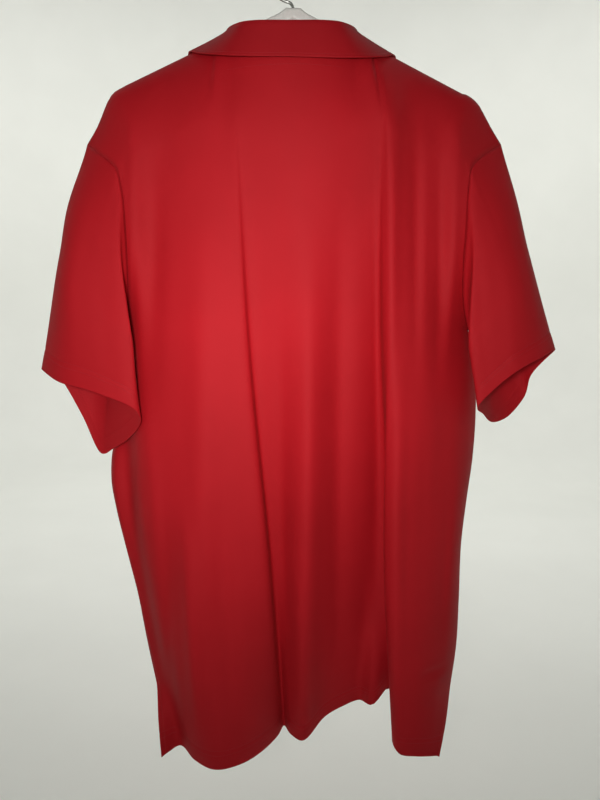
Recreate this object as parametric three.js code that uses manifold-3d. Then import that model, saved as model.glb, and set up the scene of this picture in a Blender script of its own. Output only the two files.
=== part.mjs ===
// A short-sleeved polo shirt hanging on a white plastic hanger with a wire hook.
// Millimetres, +Z up. The origin is where a rail bears inside the hook.
// The back of the shirt faces -Y and its buttoned front faces +Y; +X is the wearer's right.
import * as THREE from 'three';
import Module from 'manifold-3d';

// Driving sizes
const CLOTH = 1.6;            // wall of the knit cloth
const SEAM_GAP = 0.32;        // space left between two sewn edges
const LAYER_STEP = CLOTH + 0.4; // from the middle of one layer to the middle of the next
const REST_GAP = 0.8;         // space between the cloth and the hanger that carries it
const ARM_APEX_Z = -76.9;     // height at which the two hanger arms would meet
const ARM_SLOPE = 0.466;      // fall of a hanger arm for each millimetre outwards
const ARM_TIP_X = 177;        // centre of the round end of an arm
const ARM_HEIGHT = 12;
const ARM_WIDTH = 8;
const HANGER_TILT = 0.017;    // the hanger hangs a little lower on the wearer's right
const BOSS_X = 2;             // the stem of the hook stands a little to one side of its ring
const NECK_HALF_WIDTH = 82;   // from the middle to where a shoulder seam meets the collar
const BACK_NECK_OUT = 55;     // how far the collar holds the back neck off the hanger
const BACK_NECK_DROP = 30;
const FRONT_NECK_OUT = 50;
const FRONT_NECK_DROP = 80;
const CHEST_Z = -424;         // level of the underarm
const WAIST_Z = -690;
const HOOK_WIRE_R = 1.6;
const HOOK_R = 21;            // radius of the wire's centre line
const BORE_GAP = 0.4;
const PLACKET_HALF_WIDTH = 16;
const SLIT_HALF_WIDTH = 12;
const BUTTON_R = 5.6;
const BUTTON_HEIGHT = 2.6;
const BUTTON_LEVELS = [0.06, 0.3, 0.54];
const COLLAR_FRONT_X = 2.5;   // half the space between the two ends of the collar
const COLLAR_SHIFT = 0.8;     // the collar sits a little to the wearer's left
const FOLD_ACROSS = 3.4;      // from the stand to the fall, across the top fold
const UNDERARM_BULGE = 7;     // how far the sleeve stands out below the armpit
const BEVEL = 3.7;            // rounding of the hanger's edges

// Levels down the body: 0 at the shoulder seam, then yoke, underarm, waist and hem
const YOKE_LEVEL = 0.3;
const LEVELS = [0, YOKE_LEVEL, 1, 2, 3];
const ARMHOLE_ROWS = [0, 0.013, 0.035, 0.07, 0.12, 0.19, 0.28, 0.39, 0.52, 0.66, 0.83, 1];
const SIDE_ROWS = [1.07, 1.18, 1.34, 1.5, 1.66, 1.83, 2, 2.24, 2.48, 2.72];
const VENT_ROWS = [2.86, 3];
const ROWS = [...ARMHOLE_ROWS, ...SIDE_ROWS, ...VENT_ROWS];
const UNDERARM_ROW = ARMHOLE_ROWS.length - 1;
const VENT_ROW = UNDERARM_ROW + SIDE_ROWS.length;
const PLACKET_ROW = 9;

// The seam over the end of the hanger: beyond the arm the shoulder drops to the sleeve head
const SHOULDER_DROP = {
  left: [{ x: 186, z: -158.6 }, { x: 191, z: -161 }, { x: 197.5, z: -164.9 },
    { x: 202.5, z: -170.5 }, { x: 206.5, z: -178 }, { x: 215.5, z: -197 }, { x: 229, z: -218 }],
  right: [{ x: 188, z: -165.2 }, { x: 199, z: -171 }, { x: 205.5, z: -177 }, { x: 210, z: -184 },
    { x: 218.5, z: -198 }, { x: 232, z: -218 }],
};

// Armhole seams from the sleeve head to the underarm; out is away from the hanger
const ARMHOLE_BACK = [
  { level: 0, left: -229, right: 232, out: 0, z: -218 },
  { level: 0.06, left: -213, right: 213, out: 15, z: -230 },
  { level: 0.13, left: -194, right: 196, out: 29, z: -245 },
  { level: 0.25, left: -185, right: 190, out: 35, z: -268 },
  { level: 0.48, left: -181, right: 188, out: 37, z: -316 },
  { level: 0.66, left: -182, right: 188, out: 32, z: -353 },
  { level: 0.84, left: -187, right: 193.5, out: 17, z: -393 },
  { level: 1, left: -194, right: 205, out: -3, z: CHEST_Z },
];
const ARMHOLE_FRONT = [
  { level: 0, left: -229, right: 232, out: 0, z: -218 },
  { level: 0.06, left: -214, right: 213, out: 12, z: -230 },
  { level: 0.13, left: -198, right: 199, out: 23, z: -246 },
  { level: 0.25, left: -190, right: 193, out: 30, z: -270 },
  { level: 0.48, left: -187, right: 190, out: 33, z: -316 },
  { level: 0.66, left: -188, right: 191, out: 30, z: -353 },
  { level: 0.84, left: -191, right: 196.5, out: 19, z: -393 },
  { level: 1, left: -194, right: 205, out: 3, z: CHEST_Z },
];

// Side seams, then the open vent edge of each panel; y is in the shirt's frame
const SIDE_SEAM = {
  left: [
    { level: 1, x: -194, y: 3, z: CHEST_Z },
    { level: 1.19, x: -199, y: 19, z: -475 },
    { level: 1.4, x: -214, y: 28, z: -530 },
    { level: 1.6, x: -227, y: 23, z: -584 },
    { level: 1.7, x: -227.5, y: 19, z: -611 },
    { level: 1.83, x: -222, y: 15, z: -645 },
    { level: 2, x: -212.5, y: 12, z: -690 },
    { level: 2.18, x: -202, y: 10, z: -737 },
    { level: 2.55, x: -186, y: 5, z: -833 },
    { level: 2.72, x: -177, y: 0, z: -877 },
  ],
  right: [
    { level: 1, x: 205, y: 3, z: CHEST_Z },
    { level: 1.035, x: 209.5, y: 7, z: -433 },
    { level: 1.07, x: 212, y: 10.5, z: -442 },
    { level: 1.19, x: 220, y: 19, z: -475 },
    { level: 1.4, x: 225.5, y: 26, z: -530 },
    { level: 1.6, x: 223, y: 22, z: -584 },
    { level: 1.8, x: 216.5, y: 17, z: -637 },
    { level: 2, x: 211, y: 12, z: -690 },
    { level: 2.28, x: 210, y: 8, z: -763 },
    { level: 2.54, x: 208, y: 4, z: -831 },
    { level: 2.72, x: 202, y: 0, z: -880 },
  ],
};
const VENT_BACK = {
  left: [{ level: 2.86, x: -171, y: -24, z: -914 }, { level: 3, x: -164, y: -43, z: -950 }],
  right: [{ level: 2.86, x: 192, y: -24, z: -916 }, { level: 3, x: 181, y: -42, z: -950 }],
};
const VENT_FRONT = {
  left: [{ level: 2.86, x: -178, y: 6, z: -898 }, { level: 3, x: -179, y: 10, z: -918 }],
  right: [{ level: 2.86, x: 201, y: 6, z: -898 }, { level: 3, x: 198, y: 10, z: -918 }],
};

// The fold lines of a panel, one row each from the left side seam to the right.
// top is where the line starts along the shoulder or neck; yoke, chest, waist and hem give
// x and out, and the hem also its height; steps is the number of columns to the next line,
// or the places of those columns.
const FOLD_COLUMNS = ['name', 'top', 'yoke', 'chest', 'waist', 'hem', 'steps'];
const foldLines = (rows) => rows.map((row) =>
  Object.fromEntries(FOLD_COLUMNS.map((column, i) => [column, row[i]])));
const BACK_FOLDS = foldLines([
  ['left seam', -229, [-183, 36], [-194, -3], [-209, -13], [-164, 43, -950], 2],
  ['left turn', -205, [-172, 38], [-186, 14], [-203, 6], [-158, 36, -949], 2],
  ['left face', -176, [-158, 37], [-172, 30], [-185, 27], [-144, 23, -949], 2],
  ['left face end', -140, [-136, 38], [-146, 42], [-154, 44], [-122, 46, -951], 3],
  ['lobe ridge', -112, [-110, 44], [-108, 53], [-113, 58], [-95, 62, -951], 2],
  ['left neck point', -82, [-86, 49], [-82, 57], [-82, 59], [-66, 55, -950], [0, 0.05, 0.3]],
  ['lobe fall', -66, [-70, 52], [-64, 57], [-52, 55], [-42, 36, -949], 2],
  ['lobe edge', -54, [-60, 54], [-51, 55], [-31, 49], [-21, 8, -947], 1],
  ['groove floor', -48, [-55, 54], [-47, 48.5], [-26, 30], [-13, -9, -945], 1],
  ['groove flank', -40, [-46, 54.5], [-36, 47], [-15, 33], [-4, 5, -947], 3],
  ['middle ridge', -8, [-8, 60], [8, 57], [9, 49], [12, 13, -950], 2],
  ['middle fall', 30, [34, 59], [40, 52], [40, 36], [40, -3, -928], 2],
  ['valley', 56, [62, 55], [72, 43], [76, 15], [66, -8, -915], 1],
  ['swell', 66, [76, 53], [86, 41], [90, 12], [86, -11, -909], 2],
  ['underlay', 74, [85, 52], [94, 41], [106, 9], [101, 5, -905], [0, 0.5, 0.92]],
  ['right neck point', 82, [91, 52], [98, 44], [121, 14], [128, -10, -887], 2],
  ['fold back', 88, [95, 53], [100, 49], [119, 24], [146, 10, -899], 2],
  ['pleat edge', 94, [98, 54], [104, 54], [107, 40], [123, 36, -929], 2],
  ['right ridge', 104, [104, 52], [114, 55], [114, 50], [130, 50, -939], 2],
  ['right fall', 140, [132, 40], [140, 47], [140, 47], [150, 52, -941], 2],
  ['right face', 176, [158, 35], [168, 32], [180, 32], [168, 47, -945], 2],
  ['right turn', 205, [176, 37], [191, 15], [202, 8], [178, 43, -948], 2],
  ['right seam', 232, [188, 36], [205, -3], [212, -12], [181, 42, -950], 0],
]);

// The front's lines run in the same order, with the same places along the shoulder
const FRONT_FOLDS = foldLines([
  ['left seam', -229, [-188, 32], [-194, 3], [-209, 13], [-179, 10, -918], 2],
  ['left turn', -205, [-176, 34], [-186, 19], [-202, 28], [-175, 22, -917], 2],
  ['left face', -176, [-160, 34], [-172, 32], [-186, 40], [-164, 36, -916], 2],
  ['left swell', -140, [-138, 36], [-148, 40], [-158, 44], [-146, 46, -915], 3],
  ['left hollow', -112, [-110, 40], [-114, 38], [-120, 30], [-114, 24, -913], 2],
  ['left neck point', -82, [-82, 46], [-86, 45], [-88, 42], [-84, 38, -914], [0, 0.03, 0.16, 0.5]],
  ['left chest', -52, [-52, 52], [-56, 53], [-58, 55], [-54, 57, -916], 3],
  ['left slit', -12, [-12, 54], [-14, 53], [-18, 48], [-20, 40, -915], 1],
  ['centre', 0, [0, 54], [0, 53], [0, 46], [0, 36, -915], 1],
  ['right slit', 12, [12, 54], [14, 53], [18, 50], [18, 44, -915], 3],
  ['right chest', 52, [52, 52], [52, 54], [50, 58], [44, 60, -917], [0, 0.5, 0.84, 0.97]],
  ['right neck point', 82, [74, 48], [76, 48], [78, 48], [74, 44, -914], 2],
  ['right hollow', 88, [88, 46], [92, 42], [96, 34], [94, 28, -912], 2],
  ['right rise', 94, [102, 44], [108, 41], [114, 34], [110, 28, -912], 2],
  ['right swell', 104, [118, 41], [126, 43], [132, 42], [128, 40, -914], 2],
  ['right outer swell', 140, [140, 37], [150, 40], [158, 46], [150, 46, -916], 2],
  ['right face', 176, [162, 34], [176, 32], [189, 40], [176, 36, -916], 2],
  ['right turn', 205, [178, 34], [193, 20], [205, 28], [192, 22, -917], 2],
  ['right seam', 232, [191, 32], [205, 3], [212, 12], [198, 10, -918], 0],
]);

// Sleeve sections half way down and at the hem. Each row is a corner of the ring:
// turn runs from the overarm fold round the back to the underarm at 0.5 and on round the front.
const SLEEVE_STATIONS = [0, 0.04, 0.12, 0.24, 0.37, 0.5, 0.64, 0.78, 0.9, 1];
const SLEEVE_LEFT = {
  capOut: -4.5,
  underOut: -6,
  middle: [
    { turn: 0, x: -268, y: 0, z: -344 },
    { turn: 0.12, x: -250, y: -34, z: -352 },
    { turn: 0.24, x: -215, y: -46, z: -372 },
    { turn: 0.35, x: -177, y: -47, z: -412 },
    { turn: 0.42, x: -185, y: -34, z: -448 },
    { turn: 0.5, x: -205, y: -8, z: -468 },
    { turn: 0.65, x: -224, y: 19, z: -476 },
    { turn: 0.85, x: -253, y: 28, z: -396 },
  ],
  hem: [
    { turn: 0, x: -295, y: -5, z: -470 },
    { turn: 0.1, x: -266, y: -32, z: -481 },
    { turn: 0.22, x: -222, y: -46, z: -491 },
    { turn: 0.35, x: -176, y: -49, z: -511 },
    { turn: 0.42, x: -174, y: -39, z: -527 },
    { turn: 0.5, x: -193, y: -21, z: -549 },
    { turn: 0.57, x: -216, y: -3, z: -565 },
    { turn: 0.65, x: -236, y: 9, z: -574 },
    { turn: 0.75, x: -258, y: 17, z: -531 },
    { turn: 0.85, x: -280, y: 15, z: -486 },
  ],
};
const SLEEVE_RIGHT = {
  capOut: 2.5,
  underOut: 6,
  middle: [
    { turn: 0, x: 269, y: 0, z: -336 },
    { turn: 0.12, x: 254, y: -32, z: -346 },
    { turn: 0.24, x: 226, y: -46, z: -368 },
    { turn: 0.35, x: 193, y: -47, z: -410 },
    { turn: 0.42, x: 196, y: -36, z: -436 },
    { turn: 0.5, x: 214, y: -10, z: -451 },
    { turn: 0.65, x: 232, y: 22, z: -450 },
    { turn: 0.85, x: 258, y: 30, z: -390 },
  ],
  hem: [
    { turn: 0, x: 306, y: -5, z: -447 },
    { turn: 0.1, x: 283, y: -30, z: -453 },
    { turn: 0.2, x: 252, y: -45, z: -466 },
    { turn: 0.28, x: 228, y: -47, z: -484 },
    { turn: 0.35, x: 209, y: -46, z: -505 },
    { turn: 0.45, x: 222, y: -22, z: -520 },
    { turn: 0.55, x: 242, y: 8, z: -535 },
    { turn: 0.65, x: 268, y: 30, z: -532 },
    { turn: 0.75, x: 289, y: 36, z: -508 },
    { turn: 0.85, x: 290, y: 24, z: -482 },
  ],
};

// The collar, half of it: turn goes from the centre back at 0 to the centre front at 180 degrees.
// fold is the top fold of the stand and edge is the free edge of the turned-down fall.
const COLLAR = [
  { turn: 0, fold: [0, -53, -113.5], edge: [0, -60.5, -148] },
  { turn: 30, fold: [33.5, -50, -112.3], edge: [45, -56.5, -147] },
  { turn: 55, fold: [52.5, -40, -110.3], edge: [75, -44, -142] },
  { turn: 75, fold: [64, -21, -107.2], edge: [99, -22, -133] },
  { turn: 90, fold: [68, -2, -104.2], edge: [112, -2, -124.8] },
  { turn: 110, fold: [66, 19, -109], edge: [115, 26, -135] },
  { turn: 135, fold: [52, 42, -135], edge: [103, 50, -172] },
  { turn: 160, fold: [27, 53, -169], edge: [81, 61, -213] },
  { turn: 180, fold: [3.5, 58, -182], edge: [55, 69, -243] },
];

// Small helpers
const lerp = (a, b, t) => a + (b - a) * t;
const clamp01 = (t) => Math.min(1, Math.max(0, t));
const smooth = (a, b, t) => {
  const s = clamp01((t - a) / (b - a));
  return s * s * (3 - 2 * s);
};
const mixPoint = (a, b, t) => a.map((v, i) => lerp(v, b[i], t));
const armLine = (x) => ARM_APEX_Z - ARM_SLOPE * Math.abs(x - BOSS_X);
const tilted = ([x, y, z]) => [x + HANGER_TILT * z, y, z - HANGER_TILT * x];
function armTop(x) {
  const apex = tilted([BOSS_X, 0, ARM_APEX_Z]);
  const reach = BOSS_X + Math.sign(x - apex[0]) * ARM_TIP_X;
  const end = tilted([reach, 0, armLine(reach)]);
  return lerp(apex[2], end[2], (x - apex[0]) / (end[0] - apex[0]));
}

function hermite(p0, p1, m0, m1, h, t) {
  const t2 = t * t;
  const t3 = t2 * t;
  return p0.map((_, i) =>
    (2 * t3 - 3 * t2 + 1) * p0[i] + (t3 - 2 * t2 + t) * h * m0[i] +
    (3 * t2 - 2 * t3) * p1[i] + (t3 - t2) * h * m1[i]);
}

function tangents(points, gaps) {
  const slopes = gaps.map((gap, i) => points[i].map((v, c) => (points[i + 1][c] - v) / gap));
  return points.map((_, i) => {
    if (i === 0) return slopes[0];
    if (i === points.length - 1) return slopes[i - 1];
    const share = gaps[i - 1] / (gaps[i - 1] + gaps[i]);
    return slopes[i - 1].map((s, c) => s * (1 - share) + slopes[i][c] * share);
  });
}

// A smooth curve through points at given stations
function curveAt(stations, points, at) {
  const gaps = stations.slice(1).map((s, i) => s - stations[i]);
  const m = tangents(points, gaps);
  let k = 0;
  while (k < gaps.length - 1 && at > stations[k + 1]) k += 1;
  return hermite(points[k], points[k + 1], m[k], m[k + 1], gaps[k], (at - stations[k]) / gaps[k]);
}

// A smooth curve through the fold lines at one level, spaced by the root of their distance
function acrossAt(points, k, f) {
  const gaps = points.slice(1).map((p, i) =>
    Math.sqrt(Math.max(1, Math.hypot(...p.map((v, c) => v - points[i][c])))));
  const m = tangents(points, gaps);
  return hermite(points[k], points[k + 1], m[k], m[k + 1], gaps[k], f);
}

// The shoulder seam and the neckline, as x, out and z
function shoulderPoint(x) {
  const drop = SHOULDER_DROP[x < 0 ? 'left' : 'right'];
  const rise = (REST_GAP + CLOTH / 2) * Math.hypot(1, ARM_SLOPE);
  if (Math.abs(x) <= drop[0].x) return [x, 0, armTop(x) + rise];
  return [x, 0, curveAt(drop.map((r) => r.x), drop.map((r) => [r.z]), Math.abs(x))[0]];
}

function necklinePoint(x, neck) {
  const end = shoulderPoint(Math.sign(x || 1) * NECK_HALF_WIDTH);
  const middle = (shoulderPoint(NECK_HALF_WIDTH)[2] + shoulderPoint(-NECK_HALF_WIDTH)[2]) / 2;
  const around = Math.sqrt(Math.max(0, 1 - (x / NECK_HALF_WIDTH) ** 2));
  return [x, neck.out * around, lerp(end[2], middle, around) - neck.drop * around ** neck.power];
}

// A body panel: back has side -1 and lies towards -Y, front has side +1
function makePanel(side, folds, armhole, vent, neck) {
  const top = (x) => (Math.abs(x) >= NECK_HALF_WIDTH ? shoulderPoint(x)
    : necklinePoint(x, neck));
  const levelPoints = {
    yoke: folds.map((r) => r.yoke),
    chest: folds.map((r) => r.chest),
    waist: folds.map((r) => r.waist),
    hem: folds.map((r) => r.hem),
  };
  const along = (rows, place, level) => curveAt(rows.map((r) => r.level), rows.map(place), level);
  const inSpace = (r) => [r.x, side * r.y, r.z];
  function edgeAt(which, level) {
    if (level <= 1) return along(armhole, (r) => [r[which], r.out, r.z], level);
    if (level <= ROWS[VENT_ROW]) return along(SIDE_SEAM[which], inSpace, level);
    return along([...SIDE_SEAM[which].slice(-2), ...vent[which]], inSpace, level);
  }

  function draped(k, f, level) {
    const start = top(lerp(folds[k].top, folds[k + 1].top, f));
    const chest = [...acrossAt(levelPoints.chest, k, f), CHEST_Z];
    const yoke = [...acrossAt(levelPoints.yoke, k, f), lerp(start[2], CHEST_Z, YOKE_LEVEL)];
    const waist = [...acrossAt(levelPoints.waist, k, f), WAIST_Z];
    const hem = acrossAt(levelPoints.hem, k, f);
    const points = [start, yoke, chest, waist, hem];
    const gaps = LEVELS.slice(1).map((l, i) => l - LEVELS[i]);
    const m = tangents(points, gaps);
    // The cloth leaves a hanger arm level and outwards, leaves the neck seam downwards,
    // and hangs from the yoke as the fold lines say
    m[1] = points[2].map((v, c) => (v - points[1][c]) / gaps[1]);
    const overArm = smooth(NECK_HALF_WIDTH - 22, NECK_HALF_WIDTH + 6, Math.abs(start[0]));
    m[0] = [0, lerp(25, 165, overArm), lerp(-260, -12, overArm)];
    let i = 0;
    while (i < gaps.length - 1 && level > LEVELS[i + 1]) i += 1;
    return hermite(points[i], points[i + 1], m[i], m[i + 1], gaps[i], (level - LEVELS[i]) / gaps[i]);
  }

  // The seams are exact, and the cloth beside them follows over three fold lines
  function at(k, f, level) {
    const p = draped(k, f, level);
    const last = folds.length - 1;
    const spread = lerp(1.5, 3, smooth(0.02, 0.2, level));
    for (const [which, away, edgeK, edgeF] of [
      ['left', k + f, 0, 0], ['right', last - k - f, last - 1, 1]]) {
      if (away >= spread) continue;
      const share = 1 - smooth(0, spread, away);
      const base = draped(edgeK, edgeF, level);
      const goal = edgeAt(which, level);
      for (let c = 0; c < 3; c += 1) p[c] += (goal[c] - base[c]) * share;
    }
    return [p[0], side * p[1], p[2]];
  }
  const columns = [];
  folds.slice(0, -1).forEach((r, k) => {
    const even = () => Array.from({ length: r.steps }, (_, s) => s / r.steps);
    const cuts = Array.isArray(r.steps) ? r.steps : even();
    cuts.forEach((f) => columns.push([k, f]));
  });
  columns.push([folds.length - 2, 1]);
  const topX = columns.map(([k, f]) => lerp(folds[k].top, folds[k + 1].top, f));
  return { at, columns, side, topX };
}

const backNeck = { out: BACK_NECK_OUT, drop: BACK_NECK_DROP, power: 1.5 };
const frontNeck = { out: FRONT_NECK_OUT, drop: FRONT_NECK_DROP, power: 2 };
const backPanel = makePanel(-1, BACK_FOLDS, ARMHOLE_BACK, VENT_BACK, backNeck);
const frontPanel = makePanel(1, FRONT_FOLDS, ARMHOLE_FRONT, VENT_FRONT, frontNeck);

// A sheet is a grid of middle points with the seams that its edges lie on.
// rows run from the first seam to the free edge, columns across; wrap closes it into a tube.
function sheetOf(name, points, options = {}) {
  const plain = { wrap: false, flip: false, hole: () => false, seamAt: () => [] };
  return { name, points, ...plain, ...options };
}

function panelSheet(name, panel, hole = () => false) {
  const last = panel.columns.length - 1;
  const points = ROWS.map((level) => panel.columns.map(([k, f]) => panel.at(k, f, level)));
  return sheetOf(name, points, {
    flip: panel.side > 0,
    hole,
    seamAt: (row, col) => {
      const seams = [];
      if (row === 0) seams.push([0, 1, 1, 0]);
      if (col === 0 && row <= VENT_ROW) seams.push([1, 0, 0, 1]);
      if (col === last && row <= VENT_ROW) seams.push([1, 0, 0, -1]);
      return seams;
    },
  });
}

function sleeveSheet(name, backSheet, frontSheet, column, corners) {
  const back = ARMHOLE_ROWS.map((_, row) => backSheet.points[row][column.back]);
  const front = ARMHOLE_ROWS.map((_, row) => frontSheet.points[row][column.front]);
  const ring = [...back.slice(0, -1), ...front.slice().reverse().slice(0, -1)];
  const closed = (rows, turn) => {
    const moved = (list, by) => list.map((r) => ({ ...r, turn: r.turn + by }));
    const round = [...moved(rows.slice(-2), -1), ...rows, ...moved(rows.slice(0, 3), 1)];
    return curveAt(round.map((r) => r.turn), round.map((r) => [r.x, r.y, r.z]), turn);
  };
  const points = SLEEVE_STATIONS.map((t) => ring.map((start, i) => {
    const turn = i / ring.length;
    const middle = closed(corners.middle, turn);
    const hem = closed(corners.hem, turn);
    const p = curveAt([0, 0.5, 1], [start, middle, hem], t);
    // The cap stands out a little past the seam, and the underarm leaves the body sideways
    const angle = turn * 2 * Math.PI;
    const over = Math.max(0, Math.cos(angle)) * Math.sin(Math.min(1, t / 0.5) * Math.PI) ** 2;
    const under = clamp01(0.3 - Math.cos(angle)) * Math.sin(Math.sqrt(Math.min(1, t / 0.6)) * Math.PI);
    return [
      p[0] + corners.capOut * over + corners.underOut * under,
      p[1] - UNDERARM_BULGE * Math.sin(angle) * under,
      p[2],
    ];
  }));
  return sheetOf(name, points, {
    wrap: true,
    flip: column.back !== 0,
    seamAt: (row) => (row === 0 ? [[0, 1, 1, 0]] : []),
  });
}

// Normals of a sheet's middle points, from its own quads
function ownNormals(sheet) {
  const { points, wrap } = sheet;
  const rows = points.length;
  const cols = points[0].length;
  const turn = sheet.flip ? -1 : 1;
  return points.map((line, r) => line.map((_, c) => {
    const up = points[Math.max(0, r - 1)];
    const down = points[Math.min(rows - 1, r + 1)];
    const before = wrap ? (c + cols - 1) % cols : Math.max(0, c - 1);
    const after = wrap ? (c + 1) % cols : Math.min(cols - 1, c + 1);
    const along = new THREE.Vector3(...down[c]).sub(new THREE.Vector3(...up[c])).normalize();
    const across = new THREE.Vector3(...line[after]).sub(new THREE.Vector3(...line[before]));
    return along.cross(across.normalize()).normalize().multiplyScalar(turn);
  }));
}

const key = (p) => p.map((v) => Math.round(v * 100)).join(',');

// Sewn sheets share one normal along a seam, so that their cut edges face each other.
// Where a sleeve or the collar meets both panels, the panels count as one.
function shareNormals(groups) {
  const sheets = groups.flat();
  for (const sheet of sheets) sheet.normals = ownNormals(sheet);
  const atSeams = (sheet, use) => sheet.points.forEach((line, r) => line.forEach((p, c) => {
    if (sheet.seamAt(r, c).length) use(key(p), r, c);
  }));
  const addTo = (map, id, v) => map.set(id, (map.get(id) ?? new THREE.Vector3()).add(v));
  const shared = new Map();
  for (const group of groups) {
    const sums = new Map();
    for (const sheet of group) atSeams(sheet, (id, r, c) => addTo(sums, id, sheet.normals[r][c]));
    sums.forEach((sum, id) => addTo(shared, id, sum.normalize()));
  }
  for (const sheet of sheets) {
    atSeams(sheet, (id, r, c) => { sheet.normals[r][c] = shared.get(id).clone().normalize(); });
  }
}

// Gives a sheet its thickness and draws its edges back from the seams
function wallOf(sheet, thickness = CLOTH) {
  const { points, normals, wrap } = sheet;
  const rows = points.length;
  const cols = points[0].length;
  const moved = points.map((line, r) => line.map((p, c) => {
    const place = new THREE.Vector3(...p);
    for (const [tangentRow, tangentCol, inRow, inCol] of sheet.seamAt(r, c)) {
      const near = (dr, dc) => {
        const rr = Math.min(rows - 1, Math.max(0, r + dr));
        const cc = wrap ? (c + dc + cols) % cols : Math.min(cols - 1, Math.max(0, c + dc));
        return new THREE.Vector3(...points[rr][cc]);
      };
      const tangent = near(tangentRow, tangentCol).sub(near(-tangentRow, -tangentCol));
      const away = normals[r][c].clone().cross(tangent).normalize();
      const inner = near(inRow, inCol).sub(new THREE.Vector3(...p));
      place.addScaledVector(away, (away.dot(inner) < 0 ? -1 : 1) * SEAM_GAP / 2);
    }
    return place;
  }));
  const positions = [];
  const indexOf = new Map();
  const vertex = (r, c, layer) => {
    const id = `${r},${c},${layer}`;
    if (!indexOf.has(id)) {
      indexOf.set(id, positions.length / 3);
      const v = moved[r][c].clone().addScaledVector(normals[r][c], layer * thickness / 2);
      positions.push(v.x, v.y, v.z);
    }
    return indexOf.get(id);
  };
  const faces = [];
  const quad = (a, b, c, d) => faces.push([a, b, c], [a, c, d]);
  // The two sides of a seam split their cut faces along the same diagonal
  const cutFace = ([r0, c0], [r1, c1]) => {
    const [a, b] = [vertex(r0, c0, 1), vertex(r0, c0, -1)];
    const [c, d] = [vertex(r1, c1, -1), vertex(r1, c1, 1)];
    if (key(points[r0][c0]) < key(points[r1][c1])) quad(a, b, c, d);
    else quad(b, c, d, a);
  };
  const solidCell = (r, c) => {
    if (r < 0 || r >= rows - 1) return false;
    if (!wrap && (c < 0 || c >= cols - 1)) return false;
    return !sheet.hole(r, c);
  };
  const wrapCol = (c) => (wrap ? (c + cols) % cols : c);
  for (let r = 0; r < rows - 1; r += 1) {
    for (let c = 0; c < (wrap ? cols : cols - 1); c += 1) {
      if (!solidCell(r, c)) continue;
      const d = wrapCol(c + 1);
      const corner = [[r, c], [r + 1, c], [r + 1, d], [r, d]];
      const [o0, o1, o2, o3] = corner.map(([a, b]) => vertex(a, b, 1));
      const [i0, i1, i2, i3] = corner.map(([a, b]) => vertex(a, b, -1));
      quad(o3, o2, o1, o0);
      quad(i0, i1, i2, i3);
      if (!solidCell(r - 1, c)) cutFace(corner[0], corner[3]);
      if (!solidCell(r + 1, c)) cutFace(corner[2], corner[1]);
      if (!wrap && !solidCell(r, c - 1)) cutFace(corner[1], corner[0]);
      if (!wrap && !solidCell(r, c + 1)) cutFace(corner[3], corner[2]);
    }
  }
  const index = faces.flatMap((f) => (sheet.flip ? f : [f[0], f[2], f[1]]));
  const geometry = new THREE.BufferGeometry();
  geometry.setAttribute('position', new THREE.Float32BufferAttribute(positions, 3));
  geometry.setIndex(index);
  return geometry;
}

const part = new THREE.Group();
function addMesh(name, geometry, material) {
  geometry.computeVertexNormals();
  const mesh = new THREE.Mesh(geometry, material);
  mesh.name = name;
  part.add(mesh);
  return mesh;
}

const finish = (color, roughness, metalness) =>
  new THREE.MeshStandardMaterial({ color, roughness, metalness });
const clothMaterial = finish('#a3141f', 0.8, 0);
const plasticMaterial = finish('#f2f3ee', 0.35, 0);
const wireMaterial = finish('#9a9c98', 0.3, 1);
const buttonMaterial = finish('#7c0f18', 0.35, 0);

// Back, front and sleeves
const slitColumns = frontPanel.topX
  .map((x, c) => (x > -SLIT_HALF_WIDTH - 0.1 && x < SLIT_HALF_WIDTH - 0.1 ? c : -1))
  .filter((c) => c >= 0);
const backSheet = panelSheet('back', backPanel);
const inSlit = (r, c) => r < PLACKET_ROW && slitColumns.includes(c);
const frontSheet = panelSheet('front', frontPanel, inSlit);
const firstColumn = { back: 0, front: 0 };
const lastColumn = { back: backPanel.columns.length - 1, front: frontPanel.columns.length - 1 };
const leftSleeve = sleeveSheet('sleeve_left', backSheet, frontSheet, firstColumn, SLEEVE_LEFT);
const rightSleeve = sleeveSheet('sleeve_right', backSheet, frontSheet, lastColumn, SLEEVE_RIGHT);

// The collar: a strip from the neck seam up the stand, over the fold and down the fall
function collarStations() {
  const inNeck = (x) => Math.abs(x) <= NECK_HALF_WIDTH + 0.01;
  const within = (x) => Math.abs(x) < NECK_HALF_WIDTH - 0.01 && Math.abs(x) > COLLAR_FRONT_X;
  const across = (x) => Math.asin(clamp01(Math.abs(x) / NECK_HALF_WIDTH)) * 180 / Math.PI;
  const back = backPanel.topX
    .map((x, c) => ({ x, start: backSheet.points[0][c], turn: Math.sign(x) * across(x) }))
    .filter((s) => inNeck(s.x));
  const front = frontPanel.topX
    .map((x, c) => ({ x, start: frontSheet.points[0][c], turn: Math.sign(x) * (180 - across(x)) }))
    .filter((s) => within(s.x));
  const end = (sign) => {
    const x = sign * COLLAR_FRONT_X;
    return { x, start: necklinePoint(x, frontNeck), turn: sign * (180 - across(x)) };
  };
  return [end(-1), ...front.filter((s) => s.x < 0).reverse(), ...back,
    ...front.filter((s) => s.x > 0).reverse(), end(1)];
}

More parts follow.
